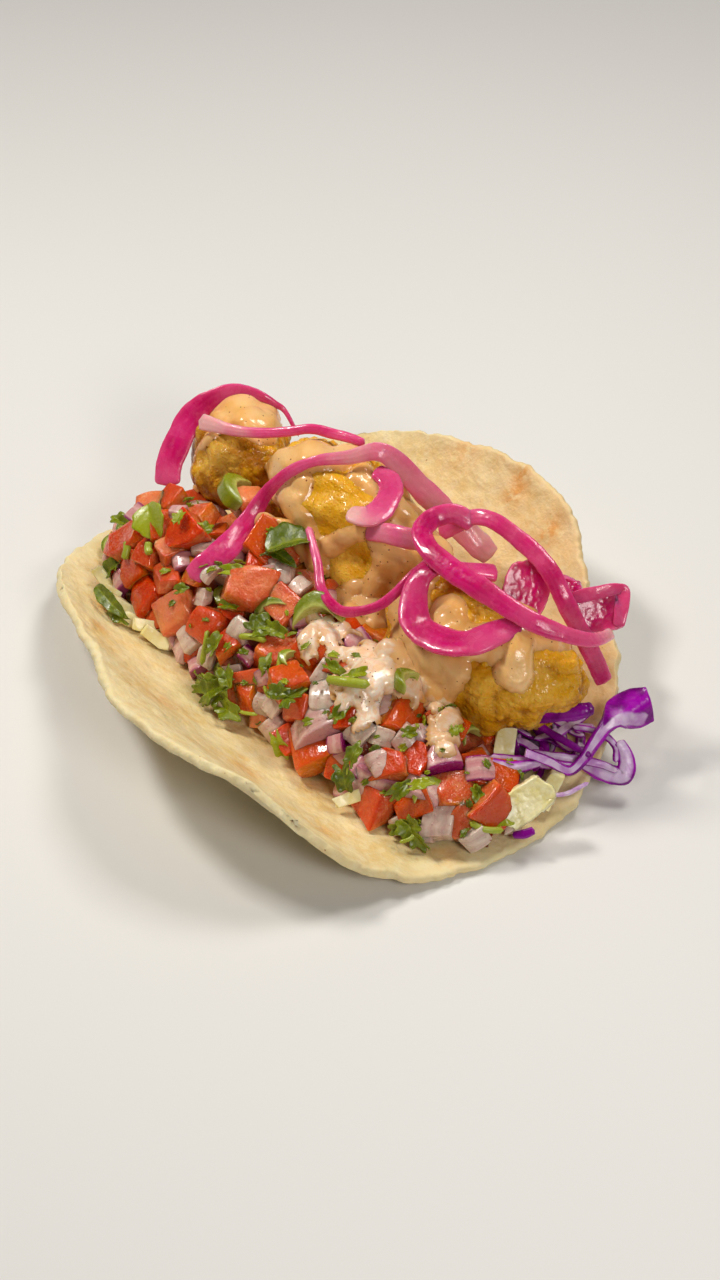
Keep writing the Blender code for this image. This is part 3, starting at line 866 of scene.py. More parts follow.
def strip_shape(path, facing, widths, thickness, seed, lean=0.35, **form):
    """A strip of uneven width and thickness along a path. Widths and thickness are in mm."""
    across, normal = strip_frame(path, facing)
    share = np.linspace(0, 1, len(path))
    length = np.linalg.norm(np.diff(path, axis=0), axis=1).sum()
    wide = np.interp(share, np.linspace(0, 1, len(widths)), widths) * MM / 2
    end = np.minimum(share, 1 - share) * length / (END_ROUNDING * 2 * wide)
    taper = np.sqrt(1 - (1 - np.clip(end, 0, 1)) ** 2) * 0.9 + 0.1
    uneven = 1 + 0.08 * perlin(path / (5 * MM), seed) + 0.05 * perlin(path / (1.6 * MM), seed + 1)
    wide = wide * taper * uneven
    thick = thickness * MM / 2 * (1 + 0.12 * perlin(path / (4 * MM), seed + 2)) * np.sqrt(taper)
    tip = lean * perlin(path / (14 * MM), seed + 3)[:, None]
    across, normal = across + tip * normal, normal - tip * across
    return sweep(path, unit(across), unit(normal), wide, thick, **form)


def rough(shape, size, height, seed):
    """The shape with low relief."""
    points, faces, values = shape
    mesh = new_mesh("rough", points, faces)
    normals = np.array([vertex.normal[:] for vertex in mesh.vertices])
    bpy.data.meshes.remove(mesh)
    return points + normals * (height * fractal(points, size, 2, seed))[:, None], faces, values


def onion_shape(name, ground, seed):
    """A pickled strip: paler to its edges, at its ends and here and there along it."""
    _, _, thickness, facing = ONIONS[name]
    widths, thinning, pales = ONION_LOOKS[name]
    head, tail = ([mm(point) for point in ends.get(name, ())] for ends in (ONION_HEADS, ONION_TAILS))
    path = smooth_path([*head, *laid_path(ONIONS[name], ground), *tail], FINE_STEPS)
    shape = strip_shape(path, facing, widths, thickness * thinning, seed, cup=0.13)
    points, faces, values = rough(shape, 2 * MM, 0.05 * MM, seed)
    wide, share = values["wide"], values["share"]
    pale = np.interp(share, np.linspace(0, 1, len(pales)), pales) + 0.25 * perlin(points / (7 * MM), seed + 6)
    return points, faces, {"edge": wide**4, "pale": np.clip(pale, 0, 1), "line": wide}


# Points in mm that carry a strip on before the start of its solid, and past its end
ONION_HEADS = {"onion_front_arc": [(19, 31, 46.5), (15, 28, 48.5)]}
ONION_TAILS = {"onion_left_band": [(-47, 25, 34)]}
# Pieces seen flat: node, middle in mm, half sizes in mm, spin, how far the rim curls to the viewer in mm,
# dimples in mm, and how square it is
PETALS = (
    ("onion_rough_chunk", (36.0, 34.0, 37), (7.2, 5.6), 80, 0.5, 0.06, 0.35),
    ("onion_end_petal", (49.8, 43.4, 35), (6.8, 5.2), 10, 0.8, 0.06, 0.75),
    (None, (42.0, 41.5, 38.5), (3.2, 1.8), -20, 0.6, 0.1, 0.2),
)
# A fold round the end petal: right, up and forward of its middle as seen from in front, in mm
END_FOLD = (
    (-7.0, 2.6, 0.6), (-3.4, 3.6, 1.6), (0.6, 4.4, 1.9), (4.4, 5.2, 1.5), (6.6, 5.0, 0.6), (6.5, 2.8, 1.0),
    (6.0, -0.2, 1.6), (5.4, -3.8, 1.6),
)
PETAL_STEPS = 41
SEEN_RIGHT = np.array((0.574, 0.819, 0.0))
SEEN_UP = np.array((-0.548, 0.384, 0.743))
SEEN_TOWARDS = np.array((0.609, -0.426, 0.669))


def axes_for(normal, spin, lean=(0, 0)):
    """Rows of axes: the last out of the piece, and the first to the viewer's right, turned by spin."""
    turn = math.radians(spin)
    heading = math.cos(turn) * SEEN_RIGHT + math.sin(turn) * SEEN_UP
    normal = unit(normal)
    first = unit(heading - normal * heading.dot(normal))
    return turned(0, lean[0], lean[1]).T @ np.array((first, np.cross(normal, first), normal))


def placed(shape, centre, axes):
    """The shape moved so that its own x, y and z lie along the given axes."""
    points, faces, values = shape
    return points @ np.asarray(axes) + centre, faces, values


def end_fold_shape():
    """A thin layer folded over the top of the end petal and down its outer side."""
    middle = np.array(next(place for node, place, *_ in PETALS if node == "onion_end_petal"))
    path = middle + np.array(END_FOLD) @ np.array((SEEN_RIGHT, SEEN_UP, SEEN_TOWARDS))
    path = smooth_path(path * MM, FINE_STEPS)
    points, faces, _ = strip_shape(path, SEEN_TOWARDS, (2.2, 3.4, 3.2, 2.6, 3.2, 3.2, 2.6), 0.7, 71)
    nothing = np.zeros(len(points))
    return points, faces, {"edge": nothing + 0.6, "pale": nothing + 0.25, "line": nothing}


def petal_shape(middle, half, spin, curl, dimples, boxy, seed, thickness=1.3):
    """A cupped bit of onion with a frayed rim and a dimpled face."""
    a, b = square(1, PETAL_STEPS)
    out = np.maximum(np.abs(a), np.abs(b))
    a, b = (plane + (flat - plane) * boxy for plane, flat in zip(to_disc(a, b), square(0.88, PETAL_STEPS)))
    angle = np.arctan2(b, a)
    ring = np.stack((np.cos(angle), np.sin(angle), 0 * a), axis=-1).reshape(-1, 3)
    ragged = (1 + 0.10 * fractal(ring, 0.8, 3, seed)).reshape(a.shape)
    ragged = 1 + (ragged - 1) * out**2
    flat = np.stack((a * half[0] * ragged, b * half[1] * ragged, 0 * a), axis=-1)
    waves = fractal(flat.reshape(-1, 3), 5, 2, seed + 1).reshape(a.shape)
    bumps = fractal(flat.reshape(-1, 3), 1.1, 2, seed).reshape(a.shape)
    flat[..., 2] = curl * out**3 * (0.7 + 0.3 * np.cos(angle * 2 + 1)) + dimples * bumps + 0.15 * waves * out
    values = {"edge": out**6, "pale": 0.5 * out**10, "line": b}
    return placed(sheet(flat * MM, thickness * MM, values), mm(middle), axes_for(SEEN_TOWARDS, spin))


# Width in mm at each point of a cabbage shred, and how dark it is
SHRED_LOOKS = {
    "red_cabbage_dark": ((2.5, 4.0, 3.0), 0.9),
    "red_cabbage_wavy": ((2.2, 2.8, 2.6, 2.0), 0.1),
    "red_cabbage_loop": ((3.0, 4.2, 5.0, 4.0, 2.6), 0.0),
}
# Further shreds: points in mm, width in mm, how dark it is
LOOSE_SHREDS = (
    (((50, 16, 18), (56, 20, 19), (61, 25, 20.5), (65, 31, 22)), 3.6, 0.9),
    (((57, 8, 13), (62, 14, 12.5), (66, 19, 11.5), (69, 24, 10.5)), 2.4, 0.0),
    (((54, 22, 16), (59, 23, 15), (64, 25, 14), (70, 28, 12.5)), 1.8, 1.0),
    (((60, 17, 12), (66, 24, 11), (70, 30, 9), (74, 33, 8)), 2.2, 0.0),
    (((60, 30, 13), (65, 34, 13), (70, 35, 12), (73, 33, 10)), 1.8, 0.2),
    (((74, 2, 5), (76, 4, 6), (77, 6, 7)), 2.2, 1.0),
    (((71, 16, 7.5), (72.5, 19, 7.5), (73, 25, 8)), 1.2, -1.0),
)


def skin_values(shape, dark, seed):
    """Purple along a shred's two edges, or all over a dark one."""
    points, faces, values = rough(shape, 2.5 * MM, 0.10 * MM, seed)
    skin = np.clip(np.abs(values["wide"]) ** 3 * (0.9 if dark > -1 else 0) + max(dark, 0), 0, 1)
    return points, faces, {"skin": skin, "shade": np.full(len(points), 0.35 * max(dark, 0))}


def shred_shape(name, ground, seed):
    """A cabbage shred in the place of its solid."""
    _, _, thickness, facing = SHREDS[name]
    widths, dark = SHRED_LOOKS[name]
    path = smooth_path(laid_path(SHREDS[name], ground), FINE_STEPS)
    shape = strip_shape(path, facing, widths, 0.75 * thickness, seed, squareness=3, cup=0.2)
    return skin_values(shape, dark, seed)


def cabbage_leaf(ground):
    """The broad shred at the end: a stalk that widens to a fan, purple along its upper edge and tip."""
    path = smooth_path(laid_path(SHREDS["red_cabbage_leaf"], ground), FINE_STEPS)
    across, normal = strip_frame(path, OUT)
    share = np.linspace(0, 1, len(path))[:, None]
    v = np.linspace(-1, 1, 31)[None, :]
    half = np.interp(share, (0, 0.3, 0.5, 0.7, 0.9, 1), (1.0, 1.1, 1.5, 3.2, 4.4, 4.0)) * MM
    rim = 1 + 0.10 * perlin(share * (9, 0, 0), 4)[:, None]
    wave = 0.25 * np.sin(share * 9 + v * 2) + 0.55 * (v**2) * np.sin(share * 6)
    sideways, upwards = (v * half * rim)[..., None], (wave * half)[..., None]
    lattice = path[:, None] + across[:, None] * sideways + normal[:, None] * upwards
    upper = np.clip(0.5 - 1.6 * v + 1.4 * (share - 0.75), 0, 1) * np.clip(share * 4 - 1.6, 0, 1)
    skin = np.clip(np.maximum(upper, np.abs(v) ** 5 * 0.9) + np.clip(share * 12 - 11.1, 0, 1), 0, 1)
    return sheet(lattice, 1.0 * MM, {"skin": skin, "shade": 0 * skin})


def pale_bit(crate, middle, half, spin):
    """A cut bit of white cabbage, bent a little. Half sizes are in mm."""
    points, faces, _ = crate.dice(mm((*half, PALE_BIT_THICKNESS / 2)), 22, 0.22, 0.18, 0.2 * MM, cuts=3)
    return placed((points, faces, {}), middle, axes_for(SEEN_TOWARDS, spin))


def white_cabbage_shape(ground):
    """A thick torn bit of leaf."""
    path = laid_path(SHREDS["white_cabbage"], ground)
    middle = path[len(path) // 2]
    return petal_shape(middle / MM + 1.2 * SEEN_TOWARDS, (7.0, 4.4), 38, 0.7, 0.1, 0.5, 40, 2.0)


PALE_BIT_THICKNESS = 1.4  # in mm
# Pale cabbage under the front of the salsa: middle in mm, half sizes in mm, spin
PALE_BITS = (
    ((-46, -33, 8), (2.8, 2.0), -30), ((-41, -32.5, 8.2), (5.5, 1.8), -30),
    ((-34, -32, 8.6), (5.5, 1.7), -24), ((-27, -31.5, 9), (4.0, 1.6), -38),
    ((-52, -31, 9), (4.5, 1.5), -50), ((45, -23, 8), (4, 1.6), 20), ((70, 16, 8), (4.5, 2.0), 60),
    ((56, 13, 13), (4, 2.4), 80), ((-30, -31, 10), (4.0, 1.5), -10),
)


def cabbage_tangle(ground, region, count, seed):
    """Shreds strewn over the ground within a region in mm: lowest x, highest x, lowest y, highest y."""
    draw = random.Random(seed)
    shapes = []
    while len(shapes) < count:
        x, y = draw.uniform(region[0], region[1]) * MM, draw.uniform(region[2], region[3]) * MM
        heading, bend = draw.gauss(0, 0.6), draw.uniform(-0.35, 0.35)
        lift = draw.uniform(0.3, 2.2) * MM
        path = []
        for _ in range(draw.randint(6, 12)):
            height = ground.height(x, y)
            if min(height, ground.height(x, y + 5 * MM), ground.height(x + 4 * MM, y)) <= 0:
                break
            if y > 40 * MM or (path and abs(height + lift - path[-1][2]) > 2.5 * MM):
                break
            path.append((x, y, height + lift + draw.uniform(-0.3, 0.5) * MM))
            heading += bend + draw.gauss(0, 0.12)
            x += 3 * MM * math.cos(heading)
            y += 3 * MM * math.sin(heading)
        if len(path) < 4:
            continue
        wide = draw.uniform(1.4, 3.0)
        facing = unit((draw.uniform(-0.6, 0.6), draw.uniform(-0.6, 0.6), 1))
        widths = (0.7 * wide, wide, 0.8 * wide)
        points, faces, values = strip_shape(
            smooth_path(path, 4), facing, widths, 0.8, seed + len(shapes), squareness=2.6, cup=0.12
        )
        dark = draw.choice((0, 0, 0, 0.25, 1))
        skin = np.clip(np.abs(values["wide"]) ** 4 * 0.9 + dark, 0, 1)
        shapes.append((points, faces, {"skin": skin, "shade": np.full(len(points), 0.3 * dark)}))
    return join(shapes)


# ---------------------------------------------------------------- salsa

BOX_CELLS = 8


def rounded_box(squareness):
    """A cube from -1 to 1 with softened edges: its points, quads, and the same points before softening."""
    box = bmesh.new()
    bmesh.ops.create_cube(box, size=2)
    bmesh.ops.subdivide_edges(box, edges=box.edges, cuts=BOX_CELLS - 1, use_grid_fill=True)
    cube = np.array([vertex.co[:] for vertex in box.verts])
    faces = [tuple(vertex.index for vertex in face.verts) for face in box.faces]
    box.free()
    cube = np.sign(cube) * (1 - (1 - np.abs(cube)) ** 1.8)
    norm = (np.abs(cube) ** squareness).sum(axis=1) ** (1 / squareness)
    return cube / norm[:, None], faces, cube


def warped(points, half, corner_shift):
    """Points of a cube stretched to half sizes, with its eight corners shifted."""
    made = points * half
    for i, corner in enumerate(itertools.product((-1, 1), repeat=3)):
        share = ((1 + points * corner) / 2).prod(axis=1)
        made = made + share[:, None] * corner_shift[i]
    return made


class Crate:
    """Makes the diced pieces, each a little different. Tint runs from a deep colour to a pale one."""

    def __init__(self, seed):
        self.random = np.random.default_rng(seed)
        self.made = 100 * seed
        self.boxes = {squareness: rounded_box(squareness) for squareness in (9, 14, 22)}

    def dice(self, half, squareness, uneven, bend=0.0, relief=0.16 * MM, cuts=0):
        """A rough block with the given half sizes: its points, its faces, and the points of a plain cube."""
        self.made += 1
        points, faces, cube = self.boxes[squareness]
        shift = self.random.uniform(-1, 1, (8, 3)) * uneven * half
        points = warped(points, half, shift)
        for _ in range(cuts):
            towards = unit(self.random.normal(size=3))
            reach = points @ towards
            over = np.clip(reach - self.random.uniform(0.58, 0.8) * reach.max(), 0, None)
            points = points - over[:, None] * towards
        points[:, 2] += bend * (points[:, 0] ** 2 - half[0] ** 2 / 3) / half[0]
        height = fractal(points, 2.2 * MM, 2, self.made) * relief
        return points + unit(points) * height[:, None], faces, cube

    def tomato(self, size, tint):
        """A block of flesh with the skin on one side, darker and redder towards one face and its two ends as
        painted shade.
        """
        half = size / 2 * self.random.uniform((0.9, 0.8, 0.62), (1.2, 1.1, 0.95))
        bend = self.random.uniform(-0.3, 0.15)
        points, faces, cube = self.dice(half, 22, 0.26, bend, cuts=3)
        side = self.random.choice((-1, 1), p=(0.45, 0.55)) if tint > 0.12 else 1
        skin = np.clip((cube[:, 2] * side - 0.7) * 5, 0, 1)
        # Painted shade: the tint is lowered towards one face of each piece and towards its two ends, so they
        # are deeper red.
        deep = 0.35 * np.clip(-cube[:, 1], 0, 1) ** 3 + 0.2 * np.abs(cube[:, 0]) ** 5
        values = {
            "tint": np.clip(tint + 0.12 * perlin(points / (3 * MM), self.made) - deep * min(tint, 1), 0, 1),
            "skin": skin * (1 if tint < 0.12 else 0.7),
        }
        return points, faces, values

    def onion(self, size, tint, long):
        """A bent slice of one or two layers, purple on its outer skin."""
        half = size * np.array((0.55 * long, 0.46, 0.26))
        points, faces, cube = self.dice(half, 14, 0.2, -0.3, cuts=1)
        skin = np.clip((np.abs(cube[:, 1]) - 0.72) * 5, 0, 1) * np.clip(tint * 2 - 0.9, 0, 1)
        return points, faces, {"tint": tint, "skin": skin, "layer": points[:, 1] * 1000 + 0 * tint}

    def chilli(self, size, tint, long):
        """A cut of green chilli: bright skin outside, pale flesh inside."""
        half = size / 2 * np.array((long, 0.36, 0.42))
        points, faces, cube = self.dice(half, 9, 0.10, -0.15)
        points[:, 1] -= 0.75 * (points[:, 0] ** 2 - half[0] ** 2 / 3) / half[0]
        return points, faces, {"tint": tint, "skin": np.clip(-cube[:, 1] * 4 - 1.2, 0, 1)}


# Listed pieces: place on the heap in mm, size in mm, tint, spin as seen from in front, and for some how
# long they are against their size
TOMATOES = (
    ((-58, -13, 22), 7.5, 0.7, 20), ((-56, -9, 24), 7.5, 0.5, 60), ((-36, -17, 32), 9, 0.1, 30),
    ((-51, -24, 21), 9, 0.6, 10), ((-37, -21, 27), 6.5, 0.8, 45), ((-36, -8, 26), 8, 0.3, 0),
    ((-46, -27, 16), 9, 0.45, 15), ((-33, -25, 22), 8.5, 0.75, 5), ((-38, -28, 13), 8.5, 0.0, 35),
    ((-26, -27, 16), 11, 0.9, 8), ((-15, -24, 20), 9.5, 0.6, 40), ((-11, -15, 31), 10.5, 0.65, -20),
    ((-12, -18, 25), 8, 0.1, 70), ((-5, -25, 20), 6.5, 0.5, 15), ((-3, -9, 28), 8.5, 0.65, 50),
    ((5, -17, 22), 10, 0.6, -25), ((5, -25, 15), 8, 0.8, 10), ((16, -22, 23), 8.5, 0.22, 30),
    ((13, -11, 26), 9, 0.4, 55), ((8, 1, 24), 9, 0.1, 20), ((-22, -1, 32), 9, 0.22, 60),
    ((-34, 3, 34), 8, 0.8, 35), ((29, 2, 27), 6.5, 0.6, 10), ((39, -4, 20), 11, 0.3, -20),
    ((51, -9, 18), 7.5, 0.05, 60), ((47, -15, 16), 9, 0.6, 15), ((30, -23, 13), 12, 0.35, 15),
    ((38, -22, 12), 7.5, 0.3, 70), ((50, -21, 8), 9, 0.6, -30), ((58, -14, 12), 8, 0.2, 20),
    ((61, -6, 14), 10.5, 0.5, 10), ((58, 3, 14), 8, 0.4, 30), ((63, 7, 13), 10.5, 0.15, -10),
    ((69, 1, 8), 8.5, 0.4, 50), ((66, -8, 10), 7.5, 0.5, 25), ((22, -25, 10), 8, 0.5, 35),
    ((50, 15, 10), 8, 0.1, 20),
)
RAW_ONIONS = (
    ((-30, -15, 29), 6.5, 0.4, 30, 1.0), ((-49, -30, 9), 6, 0.9, 10, 1.1),
    ((-4, -22, 24), 5.5, 0.1, 45, 1.0), ((1, -23, 20), 4.5, 1.0, -40, 0.9), ((8, -23, 18), 5, 0.8, 20, 1.0),
    ((-10, -28, 14), 5, 0.2, 60, 1.0), ((16, -27, 8), 6, 0.4, 30, 1.0), ((28, -22, 18), 8, 0.6, 25, 1.7),
    ((36, -21, 17), 4.5, 1.0, -80, 1.0), ((38, -21, 14), 5, 1.0, 20, 1.1), ((38, -16, 20), 6, 0.1, 40, 1.1),
    ((35, -7, 22), 6, 0.5, 10, 1.0), ((47, -16, 17), 6.5, 0.5, 30, 1.0), ((55, -4, 20), 7.5, 1.0, 10, 1.0),
    ((48, -19, 11), 8.5, 0.7, -20, 1.2), ((64, 0, 12), 7, 0.6, -70, 1.3), ((64, -12, 10), 8, 0.4, 80, 1.5),
    ((58, -12, 15), 6, 0.6, -30, 1.5), ((2, -8, 26), 6, 0.7, 20, 1.0), ((17, -1, 25), 6, 0.9, -60, 1.0),
    ((26, -8, 26), 5, 0.5, 20, 1.0), ((-58, -17, 20), 5, 0.5, 20, 1.0), ((-22, -19, 29), 5, 0.2, 50, 1.0),
    ((62, 2, 18), 6, 1.0, 0, 1.0),
)
CHILLIES = (
    ((-39.5, 0, 37), 10.5, 0.9, 78, 1.0), ((4.5, -4, 31), 11.5, 0.55, -10, 1.1),
    ((36, -1.6, 29), 7.5, 0.75, 60, 0.9), ((-4, -14, 28), 7, 0.3, 40, 1.2),
    ((58, -11, 16), 6, 0.9, 20, 1.4),
)
FILLING_TRIES = 9000
# Kind, share of the filling, least and greatest size in mm
FILLING = (("tomato", 0.62, 6.5, 9.0), ("onion", 0.32, 4.2, 6.8), ("chilli", 0.06, 4.5, 6.0))


def heap_outward(point):
    """Roughly out of the heap, away from the middle of its base."""
    x, y, z = point
    return unit((0.15 * (x - 20 * MM), y - (-7 * MM + 0.08 * x), max(z, 4 * MM)))


def salsa_pieces(heap, tortilla):
    """Every diced piece by kind, as joined shapes: the listed ones, then others in the gaps."""
    crate = Crate(5)
    draw = random.Random(11)
    taken = []
    pieces = []
    for kind, listed in (("tomato", TOMATOES), ("onion", RAW_ONIONS), ("chilli", CHILLIES)):
        for place, size, tint, spin, *long in listed:
            outward = heap_outward(mm(place))
            centre = (np.array(place) - outward * 0.28 * size) * MM
            pieces.append((kind, centre, outward, size * MM, tint, spin, long))
            taken.append((centre, 0.42 * size * MM))
    points, faces, _ = heap
    triangles = points[np.array(faces)]
    sides = triangles[:, 1:] - triangles[:, :1]
    area = np.linalg.norm(np.cross(sides[:, 0], sides[:, 1]), axis=1)
    for pick in np.random.default_rng(3).choice(len(faces), FILLING_TRIES, p=area / area.sum()):
        u, v = sorted((draw.random(), draw.random()))
        first, second, third = triangles[pick]
        point = first * u + second * (v - u) + third * (1 - v)
        kind, _, least, most = draw.choices(FILLING, [share for _, share, _, _ in FILLING])[0]
        size = draw.uniform(least, most)
        tint, spin, long = draw.random(), draw.uniform(0, 180), [draw.uniform(0.8, 1.4)]
        outward = heap_outward(point)
        centre = point - outward * 0.42 * size * MM
        radius = 0.38 * size * MM
        crowded = any(np.linalg.norm(centre - other) < radius + reach for other, reach in taken)
        if point[2] < 4 * MM or crowded:
            continue
        taken.append((centre, radius))
        pieces.append((kind, centre, outward, size * MM, tint, spin, long))
    shapes = {"tomato": [], "onion": [], "chilli": []}
    for kind, centre, outward, size, tint, spin, long in pieces:
        axes = axes_for(outward + 0.5 * SEEN_TOWARDS, spin, (draw.uniform(-25, 25), draw.uniform(-25, 25)))
        long = [] if kind == "tomato" else long
        shapes[kind].append(raised(placed(getattr(crate, kind)(size, tint, *long), centre, axes), tortilla))
    return {kind: join(made) for kind, made in shapes.items()}


def heap_core(name, shrink, voxel):
    """A node's own shape, smaller all round and uneven."""
    points, faces, normals = remeshed(node_shape(name), voxel, 4)
    depth = shrink * (1 + 0.5 * perlin(points / (5 * MM), 70))
    points = points - normals * depth[:, None]
    return points, faces, {"skin": np.zeros(len(points)), "shade": np.full(len(points), 0.8)}


# ---------------------------------------------------------------- herbs

# Place on the heap in mm, length in mm, width against length, lobes, tint, spin
LEAVES = (
    ((-44, -20.7, 29.5), 13, 0.95, 1, 0.9, -70), ((-44, -21, 26), 6, 0.7, 3, 0.5, -40),
    ((-52, -28, 12), 8, 0.5, 3, 0.2, 200), ((-41.5, -35, 12.5), 18, 0.3, 1, 0.1, -33),
    ((-38, -34, 9), 8, 0.4, 3, 0.2, 160), ((-6, -26, 19), 6, 0.6, 3, 0.4, 60),
    ((1, -27, 14), 6, 0.7, 3, 0.3, -60), ((-4, -30, 8), 12, 0.55, 5, 0.3, 170),
    ((0, -30, 9), 10, 0.5, 5, 0.2, 20), ((6, -30, 9), 8, 0.6, 3, 0.35, -20),
    ((0, -17, 24), 7, 0.9, 3, 0.2, 30), ((3, -15, 24), 6, 0.6, 3, 0.4, -30),
    ((20, -22, 21), 8, 0.8, 5, 0.15, 40), ((17, -24, 20), 7, 0.5, 3, 0.2, 170),
    ((-13, -16, 31.5), 7, 0.45, 3, 0.8, -10), ((-14, 0, 31), 18, 0.8, 1, 0.06, 25),
    ((-12.5, -3.5, 30), 12, 0.36, 1, 0.05, -45), ((-18, 0, 29), 8, 0.5, 3, 0.15, -60),
    ((42, -22, 11), 7, 0.7, 3, 0.1, -80), ((42, -19, 17), 6, 0.6, 3, 0.25, 60),
    ((23, -27, 9), 7, 0.5, 3, 0.9, -70), ((58, -12, 16), 6, 0.5, 3, 0.8, 10),
    ((70, 2, 7), 7, 0.5, 3, 0.8, 20), ((62, -16, 6), 9, 0.6, 5, 0.3, -60),
    ((58, -17, 6), 7, 0.5, 3, 0.4, 200), ((-36, -17, 33), 4, 0.8, 3, 0.7, 80),
    ((-9, -20, 26), 5, 0.6, 3, 0.4, 0), ((9, -21, 21), 5, 0.7, 3, 0.3, 90),
    ((30, -10, 28), 7, 0.35, 3, 0.7, 25), ((25, -13, 27), 6, 0.5, 3, 0.4, -30),
    ((33, -17, 22), 6, 0.5, 3, 0.3, 50), ((66, -2, 12), 6, 0.5, 3, 0.3, -70),
    ((54, -15, 13), 6, 0.6, 3, 0.3, 30), ((-24, -24, 22), 4, 0.7, 3, 0.3, 0),
    ((-60, -20, 17), 6, 0.6, 3, 0.4, 150), ((-33, -12, 29), 5, 0.7, 3, 0.3, 60),
    ((46, -7, 20), 4, 0.7, 3, 0.4, 10),
)
CHOPPED_BITS = 90
# Points in mm and width in mm
STEMS = (
    (((-48.5, -25, 21), (-47, -26, 20), (-46, -27.5, 18)), 2.0),
    (((-41, -23, 25), (-40, -24, 24), (-38.5, -24.5, 23.5)), 2.0),
    (((-11, -25, 19), (-9, -27, 17), (-8, -29, 12)), 1.4),
    (((26, -16, 26), (31, -14, 28), (35, -10, 28)), 2.2), (((68, -6, 9), (71, -4, 8), (73, 0, 7)), 1.6),
    (((-8, -29, 10), (0, -29, 10), (8, -29, 10), (14, -27, 12)), 0.9),
    (((-50, -32, 9), (-44, -34, 9.5), (-38, -35, 9)), 0.8),
    (((12, -24, 18), (16, -25, 18), (20, -23, 20)), 0.9), (((60, -14, 8), (62, -17, 6), (61, -20, 5)), 1.0),
    (((40, -20, 16), (42, -21, 13), (42, -22, 9)), 0.9), (((-2, -22, 22), (1, -20, 23), (4, -18, 23)), 1.6),
    (((10, -18, 24), (12, -20, 22), (14, -22, 20)), 1.2),
)


def leaf_shape(length, wide, lobes, tint, seed, steps=10):
    """A herb leaf from its stalk outwards: lobed, toothed, folded along its midrib and curled."""
    reach = np.linspace(0.04, 1, steps)[:, None]
    turn = np.linspace(-2.5, 2.5, (lobes + 1) * steps + 1)[None, :]
    lobe = 0.55 + 0.45 * np.abs(np.cos(turn * lobes / 3.2)) ** 0.7
    teeth = 1 + 0.12 * np.sin(turn * lobes * 2.6 + seed)
    outline = lobe * teeth * (1 - 0.45 * (np.abs(turn) / 2.5) ** 2)
    a, b = reach * outline * np.cos(turn), reach * outline * np.sin(turn) * wide
    spots = np.stack((a + seed, b, 0 * a), axis=-1).reshape(-1, 3)
    waves = fractal(spots, 0.6, 2, seed).reshape(a.shape)
    height = 0.55 * np.abs(b) - 0.22 * a**2 + 0.20 * waves
    veins = np.exp(-((np.sin(turn * lobes / 2) * reach / 0.09) ** 2))
    lattice = np.stack((a + 0.1, b, height), axis=-1) * 0.75 * length * MM
    return sheet(lattice, 0.22 * MM, {"tint": tint + 0 * a, "skin": 0.35 * veins + 0 * a})


def blade_shape(length, wide, tint, seed):
    """An unlobed leaf from its stalk to its tip: toothed, creased along its midrib and ribbed."""
    along, side = np.linspace(0, 1, 26)[:, None], np.linspace(-1, 1, 15)[None, :]
    half = 0.5 * wide * np.sin(np.pi * along**0.85) ** 0.6 * (1 + 0.07 * np.sin(19 * along + seed + 2 * side))
    across = side * half
    ribs = np.sin(24 * (along - 0.8 * np.abs(across)))
    height = 0.45 * np.abs(across) - 0.35 * (along - 0.4) ** 2 + 0.005 * ribs
    lattice = np.stack((along + 0 * side, across, height), axis=-1) * 0.75 * length * MM
    skin = 0.4 * np.exp(-((side / 0.12) ** 2)) + 0.08 * (ribs > 0.8)
    return sheet(lattice, 0.22 * MM, {"tint": tint + 0 * across, "skin": skin})


def herb_shapes(ground, tortilla):
    """Leaves, stems and chopped bits on the salsa and in the sauce: (leaves, stems)."""
    draw = random.Random(23)
    leaves = []
    for i, (place, length, wide, lobes, tint, spin) in enumerate(LEAVES):
        outward = unit(heap_outward(mm(place)) + 0.6 * SEEN_TOWARDS)
        stalk = axes_for(outward, spin)[0] * 0.35 * length * MM
        centre = mm(place) + outward * 1.8 * MM - stalk
        axes = axes_for(outward, spin, (draw.uniform(-20, 20), draw.uniform(-20, 20)))
        shape = blade_shape(length, wide, tint, i) if lobes == 1 else leaf_shape(length, wide, lobes, tint, i)
        leaves.append(raised(placed(shape, centre, axes), tortilla))
    for i in range(CHOPPED_BITS):
        x = draw.uniform(-62, 72) * MM
        y = draw.uniform(-31, 4) * MM + 0.10 * x
        z = ground.height(x, y)
        point, normal = ground.nearest((x, y, z + 0.5 * MM))
        outward = normal if normal[2] > 0 else -normal
        if z < 6 * MM:
            continue
        size = draw.uniform(1.0, 3.0)
        axes = axes_for(outward, draw.uniform(0, 360), (draw.uniform(-15, 15), draw.uniform(-15, 15)))
        shape = leaf_shape(size, draw.uniform(0.4, 0.9), 3, draw.uniform(0, 0.9), 60 + i, 6)
        leaves.append(raised(placed(shape, point + outward * 0.3 * MM, axes), tortilla))
    stems = []
    for i, (points, width) in enumerate(STEMS):
        path = smooth_path(mm(points) + heap_outward(mm(points[0])) * 1.2 * MM, 6)
        shape = strip_shape(path, OUT, (width, width), width, 200 + i, squareness=2.1, lean=0)
        stems.append(raised((shape[0], shape[1], {"tint": 0.8, "skin": 0.6}), tortilla))
    return join(leaves), join(stems)


# ---------------------------------------------------------------- sauce

